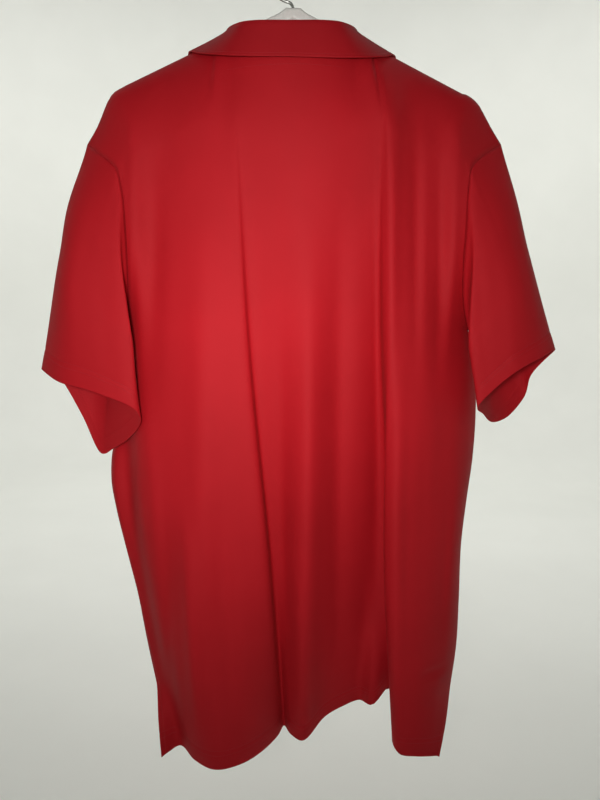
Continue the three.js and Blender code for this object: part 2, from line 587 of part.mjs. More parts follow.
function collarSheet() {
  const turns = COLLAR.map((r) => r.turn);
  const lines = collarStations().map(({ start, turn }) => {
    const a = Math.abs(turn);
    const sign = Math.sign(turn || 1);
    const placed = (name, tilt) => {
      const p = curveAt(turns, COLLAR.map((r) => r[name]), a);
      return [p[0] * sign - COLLAR_SHIFT, p[1], p[2] - tilt * p[0] * sign];
    };
    const fold = placed('fold', 0);
    const edge = placed('edge', HANGER_TILT);
    const lean = smooth(25, 60, a);
    const outward = new THREE.Vector2(
      lerp(Math.sin(turn * Math.PI / 180) * 0.6, (edge[0] - fold[0]) / 40, lean),
      lerp(-1, (edge[1] - fold[1]) / 40, lean)).normalize().multiplyScalar(FOLD_ACROSS);
    const over = (share, up) =>
      [fold[0] + outward.x * share, fold[1] + outward.y * share, fold[2] + up];
    const standTop = over(0, -1);
    const fallTop = over(1, -1);
    return [start, mixPoint(start, standTop, 0.33), mixPoint(start, standTop, 0.67), standTop,
      over(0.25, 0.6), over(0.75, 0.6), fallTop,
      mixPoint(fallTop, edge, 0.25), mixPoint(fallTop, edge, 0.5), mixPoint(fallTop, edge, 0.75), edge];
  });
  const points = lines[0].map((_, r) => lines.map((line) => line[r]));
  const seamAt = (row) => (row === 0 ? [[0, 1, 1, 0]] : []);
  return sheetOf('collar', points, { flip: true, seamAt });
}
const collar = collarSheet();

shareNormals([[backSheet, frontSheet], [leftSleeve], [rightSleeve], [collar]]);
for (const sheet of [backSheet, frontSheet, leftSleeve, rightSleeve, collar]) {
  addMesh(sheet.name, wallOf(sheet), clothMaterial);
}

// The placket bands are the front's own surface moved out and in by one layer
const slitLine = FRONT_FOLDS.findIndex((r) => r.name === 'left slit');
const chestWidth = FRONT_FOLDS[slitLine].top - FRONT_FOLDS[slitLine - 1].top;
const lap = (PLACKET_HALF_WIDTH - SLIT_HALF_WIDTH) / chestWidth;
const bandColumns = [
  [slitLine - 1, 1 - lap], [slitLine, 0], [slitLine + 1, 0], [slitLine + 1, 1], [slitLine + 2, lap]];
function bandSheet(name, away, lastRow, endGap) {
  const levels = ROWS.slice(0, lastRow + 1);
  levels[0] = endGap;
  const points = levels.map((level) => bandColumns.map(([k, f]) => frontPanel.at(k, f, level)));
  const sheet = sheetOf(name, points, { flip: true });
  sheet.normals = ownNormals(sheet);
  sheet.points = points.map((line, r) => line.map((p, c) =>
    new THREE.Vector3(...p).addScaledVector(sheet.normals[r][c], away).toArray()));
  return sheet;
}
const upperBand = bandSheet('placket_upper', LAYER_STEP, PLACKET_ROW + 1, 0.004);
const underBand = bandSheet('placket_under', -LAYER_STEP, PLACKET_ROW + 1, 0.004);
addMesh('placket_upper', wallOf(upperBand), clothMaterial);
addMesh('placket_under', wallOf(underBand), clothMaterial);

// Buttons: a disc with a raised rim, seated on the upper band
const buttonProfile = [
  [0, 0], [BUTTON_R - 0.8, 0], [BUTTON_R, 0.8], [BUTTON_R, BUTTON_HEIGHT - 0.6],
  [BUTTON_R - 0.6, BUTTON_HEIGHT], [BUTTON_R - 1.6, BUTTON_HEIGHT], [BUTTON_R - 2.2, BUTTON_HEIGHT - 0.7],
  [0, BUTTON_HEIGHT - 0.7],
].map(([r, h]) => new THREE.Vector2(r, h));
BUTTON_LEVELS.forEach((level, i) => {
  const place = (k, f, l) => new THREE.Vector3(...frontPanel.at(k, f, l));
  const centre = place(slitLine + 1, 0, level);
  const across = place(slitLine + 1, 0.5, level).sub(place(slitLine, 0.5, level));
  const down = place(slitLine + 1, 0, level + 0.03).sub(place(slitLine + 1, 0, level - 0.03));
  const normal = across.cross(down).normalize();
  const geometry = new THREE.LatheGeometry(buttonProfile, 20);
  const up = new THREE.Vector3(0, 1, 0);
  geometry.applyQuaternion(new THREE.Quaternion().setFromUnitVectors(up, normal));
  centre.addScaledVector(normal, LAYER_STEP + CLOTH / 2 + SEAM_GAP);
  geometry.translate(...centre.toArray());
  addMesh(`button_${i + 1}`, geometry, buttonMaterial);
});

// The hanger: two arms in one moulding, with a bore for the hook, then tilted with the hook
function hangerOutline(inset) {
  const shape = new THREE.Shape();
  const angle = Math.atan(ARM_SLOPE);
  const r = ARM_HEIGHT / 2;
  const rise = r * Math.hypot(1, ARM_SLOPE);
  const [left, right] = [BOSS_X - ARM_TIP_X, BOSS_X + ARM_TIP_X];
  const tipZ = armLine(right) - rise;
  shape.moveTo(BOSS_X - 7, ARM_APEX_Z - 1.5 - inset);
  shape.lineTo(BOSS_X + 7, ARM_APEX_Z - 1.5 - inset);
  shape.lineTo(BOSS_X + 12, armLine(BOSS_X + 12) - inset);
  shape.absarc(right, tipZ, r - inset, Math.PI / 2 - angle, -Math.PI / 2 - angle, true);
  shape.lineTo(BOSS_X, ARM_APEX_Z - 2 * rise + inset);
  shape.absarc(left, tipZ, r - inset, -Math.PI / 2 + angle, -Math.PI * 1.5 + angle, true);
  shape.lineTo(BOSS_X - 12, armLine(BOSS_X - 12) - inset);
  shape.closePath();
  return shape;
}
const arms = new THREE.ExtrudeGeometry(hangerOutline(BEVEL), {
  depth: ARM_WIDTH - 2 * BEVEL, bevelEnabled: true, bevelThickness: BEVEL, bevelSize: BEVEL,
  bevelSegments: 3, curveSegments: 8, steps: 1,
});
arms.rotateX(Math.PI / 2);
arms.translate(0, ARM_WIDTH / 2 - BEVEL, 0);

const wasm = await Module();
wasm.setup();
function toManifold(geometry) {
  const position = geometry.getAttribute('position');
  const ids = new Map();
  const vertProperties = [];
  const triVerts = [];
  for (let i = 0; i < position.count; i += 1) {
    const p = [position.getX(i), position.getY(i), position.getZ(i)];
    const id = p.map((v) => Math.round(v * 1e4)).join(',');
    if (!ids.has(id)) {
      ids.set(id, vertProperties.length / 3);
      vertProperties.push(...p);
    }
    triVerts.push(ids.get(id));
  }
  const kept = [];
  for (let i = 0; i < triVerts.length; i += 3) {
    const [a, b, c] = triVerts.slice(i, i + 3);
    if (a !== b && b !== c && a !== c) kept.push(a, b, c);
  }
  return new wasm.Manifold(new wasm.Mesh({
    numProp: 3,
    vertProperties: new Float32Array(vertProperties),
    triVerts: new Uint32Array(kept),
  }));
}
function fromManifold(solid) {
  const mesh = solid.getMesh();
  const geometry = new THREE.BufferGeometry();
  const positions = new Float32Array(mesh.vertProperties);
  geometry.setAttribute('position', new THREE.BufferAttribute(positions, 3));
  geometry.setIndex(Array.from(mesh.triVerts));
  return geometry;
}

const STEM_FOOT_Z = ARM_APEX_Z - 11;
const bore = new THREE.CylinderGeometry(HOOK_WIRE_R + BORE_GAP, HOOK_WIRE_R + BORE_GAP, 30, 16);
bore.rotateX(Math.PI / 2);
bore.translate(BOSS_X, 0, STEM_FOOT_Z - BORE_GAP + 15);
const tilt = new THREE.Matrix4().makeRotationY(Math.atan(HANGER_TILT));
const hangerGeometry = fromManifold(toManifold(arms).subtract(toManifold(bore.toNonIndexed())));
hangerGeometry.applyMatrix4(tilt);
addMesh('hanger', hangerGeometry, plasticMaterial);

// The hook: wire from the bore up its left side, round the rail and down to an open end
const ringZ = HOOK_WIRE_R - HOOK_R;
const ringPoint = (degrees) => [
  HOOK_R * Math.cos(degrees * Math.PI / 180), ringZ + HOOK_R * Math.sin(degrees * Math.PI / 180)];
const hookPath = [
  [BOSS_X, STEM_FOOT_Z], [BOSS_X, ARM_APEX_Z - 6], [BOSS_X, ARM_APEX_Z - 1],
  [-1, -73.5], [-8.5, -71], [-16, -66], [-20.5, -57], [-21.6, -42], [-21.4, -30],
  ...[170, 140, 115, 90, 65, 40, 10, -15, -40].map(ringPoint), [14, -37.5],
];
const wirePoints = hookPath.map(([x, z]) => new THREE.Vector3(x, 0, z));
const wire = new THREE.CatmullRomCurve3(wirePoints, false, 'centripetal');
const wireSection = new THREE.Shape().absarc(0, 0, HOOK_WIRE_R, 0, 2 * Math.PI, false);
const hookGeometry = new THREE.ExtrudeGeometry(wireSection, {
  steps: 56, curveSegments: 5, extrudePath: wire, bevelEnabled: false });
hookGeometry.applyMatrix4(tilt);
addMesh('hook', hookGeometry, wireMaterial);

export default part;
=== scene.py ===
# %% [markdown]
# # A red polo shirt on a hanger
# The real object is an adult knitted polo shirt that hangs, back to the camera, on a white
# moulded hanger. The imported solids already have its true form and folds. This script dresses them:
# each cloth panel is made again as a thin, finer sheet on the same surface, and then gets its
# hems, stitches, creases and knit. The solids themselves stay underneath, hidden.

# %% Load the frame
import math

import bmesh
import bpy
import numpy as np
from mathutils import Matrix, Vector


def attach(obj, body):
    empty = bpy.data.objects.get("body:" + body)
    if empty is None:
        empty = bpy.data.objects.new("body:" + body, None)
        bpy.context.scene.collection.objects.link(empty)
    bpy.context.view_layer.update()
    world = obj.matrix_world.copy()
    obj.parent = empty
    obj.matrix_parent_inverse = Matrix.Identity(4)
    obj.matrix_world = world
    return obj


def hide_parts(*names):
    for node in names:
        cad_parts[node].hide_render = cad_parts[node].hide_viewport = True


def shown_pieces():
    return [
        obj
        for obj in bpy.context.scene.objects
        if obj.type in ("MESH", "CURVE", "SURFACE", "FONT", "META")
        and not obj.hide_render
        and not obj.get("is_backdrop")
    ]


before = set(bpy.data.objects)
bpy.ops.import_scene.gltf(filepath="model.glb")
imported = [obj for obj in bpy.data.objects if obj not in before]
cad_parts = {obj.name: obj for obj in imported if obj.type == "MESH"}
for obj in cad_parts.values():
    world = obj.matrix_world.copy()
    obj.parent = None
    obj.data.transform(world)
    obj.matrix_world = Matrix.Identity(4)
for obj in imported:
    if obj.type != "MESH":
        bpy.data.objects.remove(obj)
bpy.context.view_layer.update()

MM = 0.001

# %% [markdown]
# The photograph was taken from close by with a wide lens, at chest height and looking a little
# down, so the hem looks narrow and the shoulders look wide. A camera at the same place gives the
# same perspective. Blender's lens length goes with the long side of the picture.

# %% Camera
PICTURE = (600, 800)
FOCAL_PX = 620
CAMERA_PLACE = (0.008, -0.730, -0.385)
CAMERA_PITCH = 9.5

camera_data = bpy.data.cameras.new("camera")
camera_data.sensor_width = 36
camera_data.lens = 36 * FOCAL_PX / max(PICTURE)
camera = bpy.data.objects.new("camera", camera_data)
camera.location = CAMERA_PLACE
camera.rotation_euler = (math.radians(90 - CAMERA_PITCH), 0, 0)
bpy.context.scene.collection.objects.link(camera)
bpy.context.scene.camera = camera
print("lens", round(camera_data.lens, 1), "mm")

# %% [markdown]
# ## The cut and the drape
# A hanging shirt is a sheet pulled straight by its own weight, so its folds run down from the
# shoulders. Each panel is described by fold lines: where each starts along the shoulder or neck,
# and how far it stands out from the hanger at the yoke, the underarm, the waist and the hem.
# A smooth curve across the fold lines and another down them give every point of the cloth.
# These are the same sizes as the solids, in millimetres, so that the dressed shirt keeps their form.

# %% Sizes shared with the solids
REST_GAP = 0.8
SOLID_CLOTH = 1.6
ARM_APEX_Z = -76.9
ARM_SLOPE = 0.466
ARM_TIP_X = 177
HANGER_TILT = 0.017
BOSS_X = 2
NECK_HALF_WIDTH = 82
CHEST_Z = -424
WAIST_Z = -690
YOKE_LEVEL = 0.3
VENT_LEVEL = 2.72
LEVELS = np.array([0, YOKE_LEVEL, 1, 2, 3])
ARMHOLE_ROWS = [0, 0.013, 0.035, 0.07, 0.12, 0.19, 0.28, 0.39, 0.52, 0.66, 0.83, 1]
PLACKET_END, SLIT_END = 0.83, 0.66
print("levels run from the shoulder at 0 to the hem at", LEVELS[-1])

# %% The shoulder past the hanger, as x and z
SHOULDER_DROP = {
    "left": [(186, -158.6), (191, -161), (197.5, -164.9), (202.5, -170.5), (206.5, -178),
             (215.5, -197), (229, -218)],
    "right": [(188, -165.2), (199, -171), (205.5, -177), (210, -184), (218.5, -198), (232, -218)],
}

# %% Fold lines: name, place along the shoulder, then x and out at the yoke, chest and waist, x, out and z at the hem
BACK_FOLDS = [
    ("left seam", -229, (-183, 36), (-194, -3), (-209, -13), (-164, 43, -950)),
    ("left turn", -205, (-172, 38), (-186, 14), (-203, 6), (-158, 36, -949)),
    ("left face", -176, (-158, 37), (-172, 30), (-185, 27), (-144, 23, -949)),
    ("left face end", -140, (-136, 38), (-146, 42), (-154, 44), (-122, 46, -951)),
    ("lobe ridge", -112, (-110, 44), (-108, 53), (-113, 58), (-95, 62, -951)),
    ("left neck point", -82, (-86, 49), (-82, 57), (-82, 59), (-66, 55, -950)),
    ("lobe fall", -66, (-70, 52), (-64, 57), (-52, 55), (-42, 36, -949)),
    ("lobe edge", -54, (-60, 54), (-51, 55), (-31, 49), (-21, 8, -947)),
    ("groove floor", -48, (-55, 54), (-47, 48.5), (-26, 30), (-13, -9, -945)),
    ("groove flank", -40, (-46, 54.5), (-36, 47), (-15, 33), (-4, 5, -947)),
    ("middle ridge", -8, (-8, 60), (8, 57), (9, 49), (12, 13, -950)),
    ("middle fall", 30, (34, 59), (40, 52), (40, 36), (40, -3, -928)),
    ("valley", 56, (62, 55), (72, 43), (76, 15), (66, -8, -915)),
    ("swell", 66, (76, 53), (86, 41), (90, 12), (86, -11, -909)),
    ("underlay", 74, (85, 52), (94, 41), (106, 9), (101, 5, -905)),
    ("right neck point", 82, (91, 52), (98, 44), (121, 14), (128, -10, -887)),
    ("fold back", 88, (95, 53), (100, 49), (119, 24), (146, 10, -899)),
    ("pleat edge", 94, (98, 54), (104, 54), (107, 40), (123, 36, -929)),
    ("right ridge", 104, (104, 52), (114, 55), (114, 50), (130, 50, -939)),
    ("right fall", 140, (132, 40), (140, 47), (140, 47), (150, 52, -941)),
    ("right face", 176, (158, 35), (168, 32), (180, 32), (168, 47, -945)),
    ("right turn", 205, (176, 37), (191, 15), (202, 8), (178, 43, -948)),
    ("right seam", 232, (188, 36), (205, -3), (212, -12), (181, 42, -950)),
]
FRONT_FOLDS = [
    ("left seam", -229, (-188, 32), (-194, 3), (-209, 13), (-179, 10, -918)),
    ("left turn", -205, (-176, 34), (-186, 19), (-202, 28), (-175, 22, -917)),
    ("left face", -176, (-160, 34), (-172, 32), (-186, 40), (-164, 36, -916)),
    ("left swell", -140, (-138, 36), (-148, 40), (-158, 44), (-146, 46, -915)),
    ("left hollow", -112, (-110, 40), (-114, 38), (-120, 30), (-114, 24, -913)),
    ("left neck point", -82, (-82, 46), (-86, 45), (-88, 42), (-84, 38, -914)),
    ("left chest", -52, (-52, 52), (-56, 53), (-58, 55), (-54, 57, -916)),
    ("left slit", -12, (-12, 54), (-14, 53), (-18, 48), (-20, 40, -915)),
    ("centre", 0, (0, 54), (0, 53), (0, 46), (0, 36, -915)),
    ("right slit", 12, (12, 54), (14, 53), (18, 50), (18, 44, -915)),
    ("right chest", 52, (52, 52), (52, 54), (50, 58), (44, 60, -917)),
    ("right neck point", 82, (74, 48), (76, 48), (78, 48), (74, 44, -914)),
    ("right hollow", 88, (88, 46), (92, 42), (96, 34), (94, 28, -912)),
    ("right rise", 94, (102, 44), (108, 41), (114, 34), (110, 28, -912)),
    ("right swell", 104, (118, 41), (126, 43), (132, 42), (128, 40, -914)),
    ("right outer swell", 140, (140, 37), (150, 40), (158, 46), (150, 46, -916)),
    ("right face", 176, (162, 34), (176, 32), (189, 40), (176, 36, -916)),
    ("right turn", 205, (178, 34), (193, 20), (205, 28), (192, 22, -917)),
    ("right seam", 232, (191, 32), (205, 3), (212, 12), (198, 10, -918)),
]
ARMHOLE_BACK = [
    (0, -229, 232, 0, -218),
    (0.06, -213, 213, 15, -230),
    (0.13, -194, 196, 29, -245),
    (0.25, -185, 190, 35, -268),
    (0.48, -181, 188, 37, -316),
    (0.66, -182, 188, 32, -353),
    (0.84, -187, 193.5, 17, -393),
    (1, -194, 205, -3, CHEST_Z),
]
ARMHOLE_FRONT = [
    (0, -229, 232, 0, -218),
    (0.06, -214, 213, 12, -230),
    (0.13, -198, 199, 23, -246),
    (0.25, -190, 193, 30, -270),
    (0.48, -187, 190, 33, -316),
    (0.66, -188, 191, 30, -353),
    (0.84, -191, 196.5, 19, -393),
    (1, -194, 205, 3, CHEST_Z),
]
SIDE_SEAM = {
    "left": [(1, -194, 3, CHEST_Z), (1.19, -199, 19, -475), (1.4, -214, 28, -530),
        (1.6, -227, 23, -584), (1.7, -227.5, 19, -611), (1.83, -222, 15, -645),
        (2, -212.5, 12, -690), (2.18, -202, 10, -737), (2.55, -186, 5, -833),
        (2.72, -177, 0, -877)],
    "right": [(1, 205, 3, CHEST_Z), (1.035, 209.5, 7, -433), (1.07, 212, 10.5, -442), (1.19, 220, 19, -475),
        (1.4, 225.5, 26, -530), (1.6, 223, 22, -584), (1.8, 216.5, 17, -637), (2, 211, 12, -690),
        (2.28, 210, 8, -763), (2.54, 208, 4, -831), (2.72, 202, 0, -880)],
}
VENT_BACK = {
    "left": [(2.86, -171, -24, -914), (3, -164, -43, -950)],
    "right": [(2.86, 192, -24, -916), (3, 181, -42, -950)],
}
VENT_FRONT = {
    "left": [(2.86, -178, 6, -898), (3, -179, 10, -918)],
    "right": [(2.86, 201, 6, -898), (3, 198, 10, -918)],
}
SLEEVE_LEFT = {
    "capOut": -4.5,
    "underOut": -6,
    "middle": [(0, -268, 0, -344), (0.12, -250, -34, -352), (0.24, -215, -46, -372),
        (0.35, -177, -47, -412), (0.42, -185, -34, -448), (0.5, -205, -8, -468),
        (0.65, -224, 19, -476), (0.85, -253, 28, -396)],
    "hem": [(0, -295, -5, -470), (0.1, -266, -32, -481), (0.22, -222, -46, -491),
        (0.35, -176, -49, -511), (0.42, -174, -39, -527), (0.5, -193, -21, -549),
        (0.57, -216, -3, -565), (0.65, -236, 9, -574), (0.75, -258, 17, -531),
        (0.85, -280, 15, -486)],
}
SLEEVE_RIGHT = {
    "capOut": 2.5,
    "underOut": 6,
    "middle": [(0, 269, 0, -336), (0.12, 254, -32, -346), (0.24, 226, -46, -368),
        (0.35, 193, -47, -410), (0.42, 196, -36, -436), (0.5, 214, -10, -451),
        (0.65, 232, 22, -450), (0.85, 258, 30, -390)],
    "hem": [(0, 306, -5, -447), (0.1, 283, -30, -453), (0.2, 252, -45, -466),
        (0.28, 228, -47, -484), (0.35, 209, -46, -505), (0.45, 222, -22, -520),
        (0.55, 242, 8, -535), (0.65, 268, 30, -532), (0.75, 289, 36, -508),
        (0.85, 290, 24, -482)],
}
COLLAR = [
    (0, (0, -53, -113.5), (0, -60.5, -148)),
    (30, (33.5, -50, -112.3), (45, -56.5, -147)),
    (55, (52.5, -40, -110.3), (75, -44, -142)),
    (75, (64, -21, -107.2), (99, -22, -133)),
    (90, (68, -2, -104.2), (112, -2, -124.8)),
    (110, (66, 19, -109), (115, 26, -135)),
    (135, (52, 42, -135), (103, 50, -172)),
    (160, (27, 53, -169), (81, 61, -213)),
    (180, (3.5, 58, -182), (55, 69, -243)),
]

# %% [markdown]
# ### Curves in space
# A hermite curve goes through points with a chosen direction at each. Taking each direction from
# the neighbouring points gives the smooth line that a soft cloth makes between its folds.

# %% Curve helpers
def lerp(a, b, t):
    return a + (b - a) * t


def smooth(a, b, t):
    s = np.clip((t - a) / (b - a), 0, 1)
    return s * s * (3 - 2 * s)


def hermite(p0, p1, m0, m1, h, t):
    return ((2 * t**3 - 3 * t**2 + 1) * p0 + (t**3 - 2 * t**2 + t) * h * m0
            + (3 * t**2 - 2 * t**3) * p1 + (t**3 - t**2) * h * m1)


def tangents(points, gaps):
    gaps = gaps.reshape((-1,) + (1,) * (points.ndim - 1))
    slopes = np.diff(points, axis=0) / gaps
    share = gaps[:-1] / (gaps[:-1] + gaps[1:])
    inner = slopes[:-1] * (1 - share) + slopes[1:] * share
    return np.concatenate([slopes[:1], inner, slopes[-1:]])


def curve_at(stations, points, at):
    """Points of a smooth curve at the places in at; points may hold a whole row each."""
    stations, points = np.asarray(stations, float), np.asarray(points, float)
    at = np.atleast_1d(np.asarray(at, float))
    gaps = np.diff(stations)
    m = tangents(points, gaps)
    k = np.clip(np.searchsorted(stations, at, side="left") - 1, 0, len(gaps) - 1)
    spread = (-1,) + (1,) * (points.ndim - 1)
    t = ((at - stations[k]) / gaps[k]).reshape(spread)
    return hermite(points[k], points[k + 1], m[k], m[k + 1], gaps[k].reshape(spread), t)


def across_at(points, u):
    """Points of the smooth curve across the fold lines; u counts fold lines."""
    points = np.asarray(points, float)
    far = np.linalg.norm(np.diff(points, axis=0), axis=1)
    gaps = np.sqrt(np.maximum(1, far))
    m = tangents(points, gaps)
    k = np.clip(np.floor(u).astype(int), 0, len(gaps) - 1)
    t = (u - k)[:, None]
    return hermite(points[k], points[k + 1], m[k], m[k + 1], gaps[k][:, None], t)


# %% The shoulder and the neckline
def arm_line(x):
    return ARM_APEX_Z - ARM_SLOPE * abs(x - BOSS_X)


def tilted(x, z):
    return x + HANGER_TILT * z, z - HANGER_TILT * x


def shoulder_z(x):
    """Height of the shoulder seam where it lies on the hanger and where it drops past it."""
    x = np.atleast_1d(np.asarray(x, float))
    apex = tilted(BOSS_X, ARM_APEX_Z)
    rise = (REST_GAP + SOLID_CLOTH / 2) * math.hypot(1, ARM_SLOPE)
    out = np.empty_like(x)
    for sign, name in ((-1, "left"), (1, "right")):
        side = x < 0 if sign < 0 else x >= 0
        reach = BOSS_X + sign * ARM_TIP_X
        end = tilted(reach, arm_line(reach))
        on_arm = lerp(apex[1], end[1], (x - apex[0]) / (end[0] - apex[0])) + rise
        drop = SHOULDER_DROP[name]
        past = curve_at([d[0] for d in drop], [[d[1]] for d in drop], np.abs(x))[:, 0]
        z = np.where(np.abs(x) <= drop[0][0], on_arm, past)
        out[side] = z[side]
    return out


def neckline(x, neck):
    x = np.atleast_1d(np.asarray(x, float))
    out, drop, power = neck
    ends = np.where(x >= 0, shoulder_z(NECK_HALF_WIDTH), shoulder_z(-NECK_HALF_WIDTH))
    middle = (shoulder_z(NECK_HALF_WIDTH) + shoulder_z(-NECK_HALF_WIDTH)) / 2
    around = np.sqrt(np.maximum(0, 1 - (x / NECK_HALF_WIDTH) ** 2))
    z = lerp(ends, middle, around) - drop * around**power
    return np.stack([x, out * around, z], axis=1)


BACK_NECK = (55, 30, 1.5)
FRONT_NECK = (50, 80, 2)
print("shoulder seam at the neck", shoulder_z([-NECK_HALF_WIDTH, NECK_HALF_WIDTH]).round(1))

# %% [markdown]
# ### A body panel
# At the shoulder the cloth leaves the hanger level and outwards, at the neck it leaves downwards.
# The seams are exact, and the cloth beside them follows over three fold lines.

# %% The panel's surface
class Panel:
    def __init__(self, side, folds, armhole, vent, neck):
        self.side, self.armhole, self.vent, self.neck = side, armhole, vent, neck
        self.names = [f[0] for f in folds]
        self.tops = np.array([f[1] for f in folds], float)
        self.yoke, self.chest, self.waist, self.hem = [
            np.array([f[i] for f in folds], float) for i in (2, 3, 4, 5)]
        self.last = len(folds) - 1

    def line(self, name, share=0):
        return self.names.index(name) + share

    def top(self, x):
        on_shoulder = np.stack([x, 0 * x, shoulder_z(x)], axis=1)
        on_neck = neckline(np.clip(x, -NECK_HALF_WIDTH, NECK_HALF_WIDTH), self.neck)
        return np.where(np.abs(x)[:, None] >= NECK_HALF_WIDTH, on_shoulder, on_neck)

    def edge_at(self, which, level):
        """The armhole, then the side seam, then the open edge of the vent."""
        level = np.atleast_1d(np.asarray(level, float))
        column = {"left": 1, "right": 2}[which]
        arm = curve_at([r[0] for r in self.armhole], [(r[column], r[3], r[4]) for r in self.armhole],
                       level)
        seam_rows, vent_rows = SIDE_SEAM[which], SIDE_SEAM[which][-2:] + self.vent[which]
        in_space = lambda rows: curve_at(
            [r[0] for r in rows], [(r[1], self.side * r[2], r[3]) for r in rows], level)
        below = np.where((level <= VENT_LEVEL)[:, None], in_space(seam_rows), in_space(vent_rows))
        return np.where((level <= 1)[:, None], arm, below)

    def draped(self, u, level):
        """Rows of points, one row for each level."""
        k = np.clip(np.floor(u).astype(int), 0, self.last - 1)
        start = self.top(lerp(self.tops[k], self.tops[k + 1], u - k))
        row = lambda table, z: np.column_stack([across_at(table, u), z * np.ones(len(u))])
        points = np.stack([
            start,
            np.column_stack([across_at(self.yoke, u), lerp(start[:, 2], CHEST_Z, YOKE_LEVEL)]),
            row(self.chest, CHEST_Z), row(self.waist, WAIST_Z), across_at(self.hem, u)])
        gaps = np.diff(LEVELS)
        m = tangents(points, gaps)
        m[1] = (points[2] - points[1]) / gaps[1]
        over_arm = smooth(NECK_HALF_WIDTH - 22, NECK_HALF_WIDTH + 6, np.abs(start[:, 0]))
        m[0] = np.stack([0 * over_arm, lerp(25, 165, over_arm), lerp(-260, -12, over_arm)], axis=1)
        i = np.clip(np.searchsorted(LEVELS, level, side="left") - 1, 0, len(gaps) - 1)
        t = ((level - LEVELS[i]) / gaps[i])[:, None, None]
        return hermite(points[i], points[i + 1], m[i], m[i + 1], gaps[i][:, None, None], t)

    def surface(self, u, level):
        """Points in the shirt's frame: rows for the levels, columns for the places across."""
        u, level = np.asarray(u, float), np.asarray(level, float)
        p = self.draped(u, level)
        spread = lerp(1.5, 3, smooth(0.02, 0.2, level))[:, None]
        for which, away, edge in (("left", u, 0.0), ("right", self.last - u, float(self.last))):
            share = 1 - smooth(0, spread, away[None, :])
            base = self.draped(np.array([edge]), level)[:, 0]
            p += (self.edge_at(which, level) - base)[:, None, :] * share[..., None]
        p[..., 1] *= self.side
        return p


back = Panel(-1, BACK_FOLDS, ARMHOLE_BACK, VENT_BACK, BACK_NECK)
front = Panel(1, FRONT_FOLDS, ARMHOLE_FRONT, VENT_FRONT, FRONT_NECK)
middle_row = back.surface(np.linspace(0, back.last, 200), [1.0])[0]
print("half chest", round(float(np.linalg.norm(np.diff(middle_row, axis=0), axis=1).sum())), "mm")

# %% [markdown]
# ### Sleeves and collar
# A sleeve is a tube from the armhole seam to its hem. It is drawn through three rings: the seam,
# the ring half way down and the hem, which falls open towards the body as in the photograph.
# The collar is one strip: up the stand, over the fold and down to its free edge.

# %% The sleeve's surface
def armhole_level(row):
    return curve_at(range(len(ARMHOLE_ROWS)), [[v] for v in ARMHOLE_ROWS], row)[:, 0]


def ring_at(rows, turn):
    """A closed ring through the corners in rows, read at places round it."""
    before = [(r[0] - 1,) + r[1:] for r in rows[-2:]]
    after = [(r[0] + 1,) + r[1:] for r in rows[:3]]
    around = before + rows + after
    return curve_at([r[0] for r in around], [r[1:] for r in around], turn)


def sleeve_surface(which, cut, stations, turn):
    half = len(ARMHOLE_ROWS) - 1
    row = np.clip(turn * 2 * half, 0, 2 * half)
    seam_back = back.edge_at(which, armhole_level(np.minimum(row, half))) * [1, -1, 1]
    seam_front = front.edge_at(which, armhole_level(np.clip(2 * half - row, 0, half)))
    start = np.where((row <= half)[:, None], seam_back, seam_front)
    rings = np.stack([start, ring_at(cut["middle"], turn), ring_at(cut["hem"], turn)])
    p = curve_at([0, 0.5, 1], rings, stations)
    t = np.asarray(stations, float)[:, None]
    angle = (turn * 2 * math.pi)[None, :]
    over = np.maximum(0, np.cos(angle)) * np.sin(np.minimum(1, t / 0.5) * math.pi) ** 2
    under = (np.clip(0.3 - np.cos(angle), 0, 1)
             * np.sin(np.sqrt(np.minimum(1, t / 0.6)) * math.pi))
    p[..., 0] += cut["capOut"] * over + cut["underOut"] * under
    p[..., 1] -= UNDERARM_BULGE * np.sin(angle) * under
    return p


# %% The collar's surface
def collar_surface(share, turn):
    """share runs from the neck seam at 0 to the free edge at 1; turn in degrees from the back."""
    a, sign = np.abs(turn), np.where(turn < 0, -1.0, 1.0)
    x = sign * NECK_HALF_WIDTH * np.sin(np.radians(a))
    start = np.where((a <= 90)[:, None], neckline(x, BACK_NECK) * [1, -1, 1],
                     neckline(x, FRONT_NECK))

    def placed(column, tilt):
        p = curve_at([r[0] for r in COLLAR], [r[column] for r in COLLAR], a)
        return np.stack([p[:, 0] * sign - COLLAR_SHIFT, p[:, 1], p[:, 2] - tilt * p[:, 0] * sign],
                        axis=1)

    fold, edge = placed(1, 0), placed(2, HANGER_TILT)
    lean = smooth(25, 60, a)
    outward = np.stack([lerp(np.sin(np.radians(turn)) * 0.6, (edge[:, 0] - fold[:, 0]) / 40, lean),
                        lerp(-1, (edge[:, 1] - fold[:, 1]) / 40, lean)], axis=1)
    outward *= FOLD_ACROSS / np.linalg.norm(outward, axis=1)[:, None]

    def over(part, up):
        return fold + np.column_stack([outward * part, np.full(len(a), float(up))])

    stand, fall = over(0, -1), over(1, -1)
    profile = np.stack([start, lerp(start, stand, 0.33), lerp(start, stand, 0.67), stand,
                        over(0.25, 0.6), over(0.75, 0.6), fall, lerp(fall, edge, 0.25),
                        lerp(fall, edge, 0.5), lerp(fall, edge, 0.75), edge])
    return curve_at(COLLAR_PROFILE, profile, share)


COLLAR_PROFILE = [0, 0.14, 0.28, 0.42, 0.46, 0.5, 0.54, 0.655, 0.77, 0.885, 1]
UNDERARM_BULGE = 7
COLLAR_SHIFT = 0.8
FOLD_ACROSS = 3.4
LAYER_STEP = 2.0
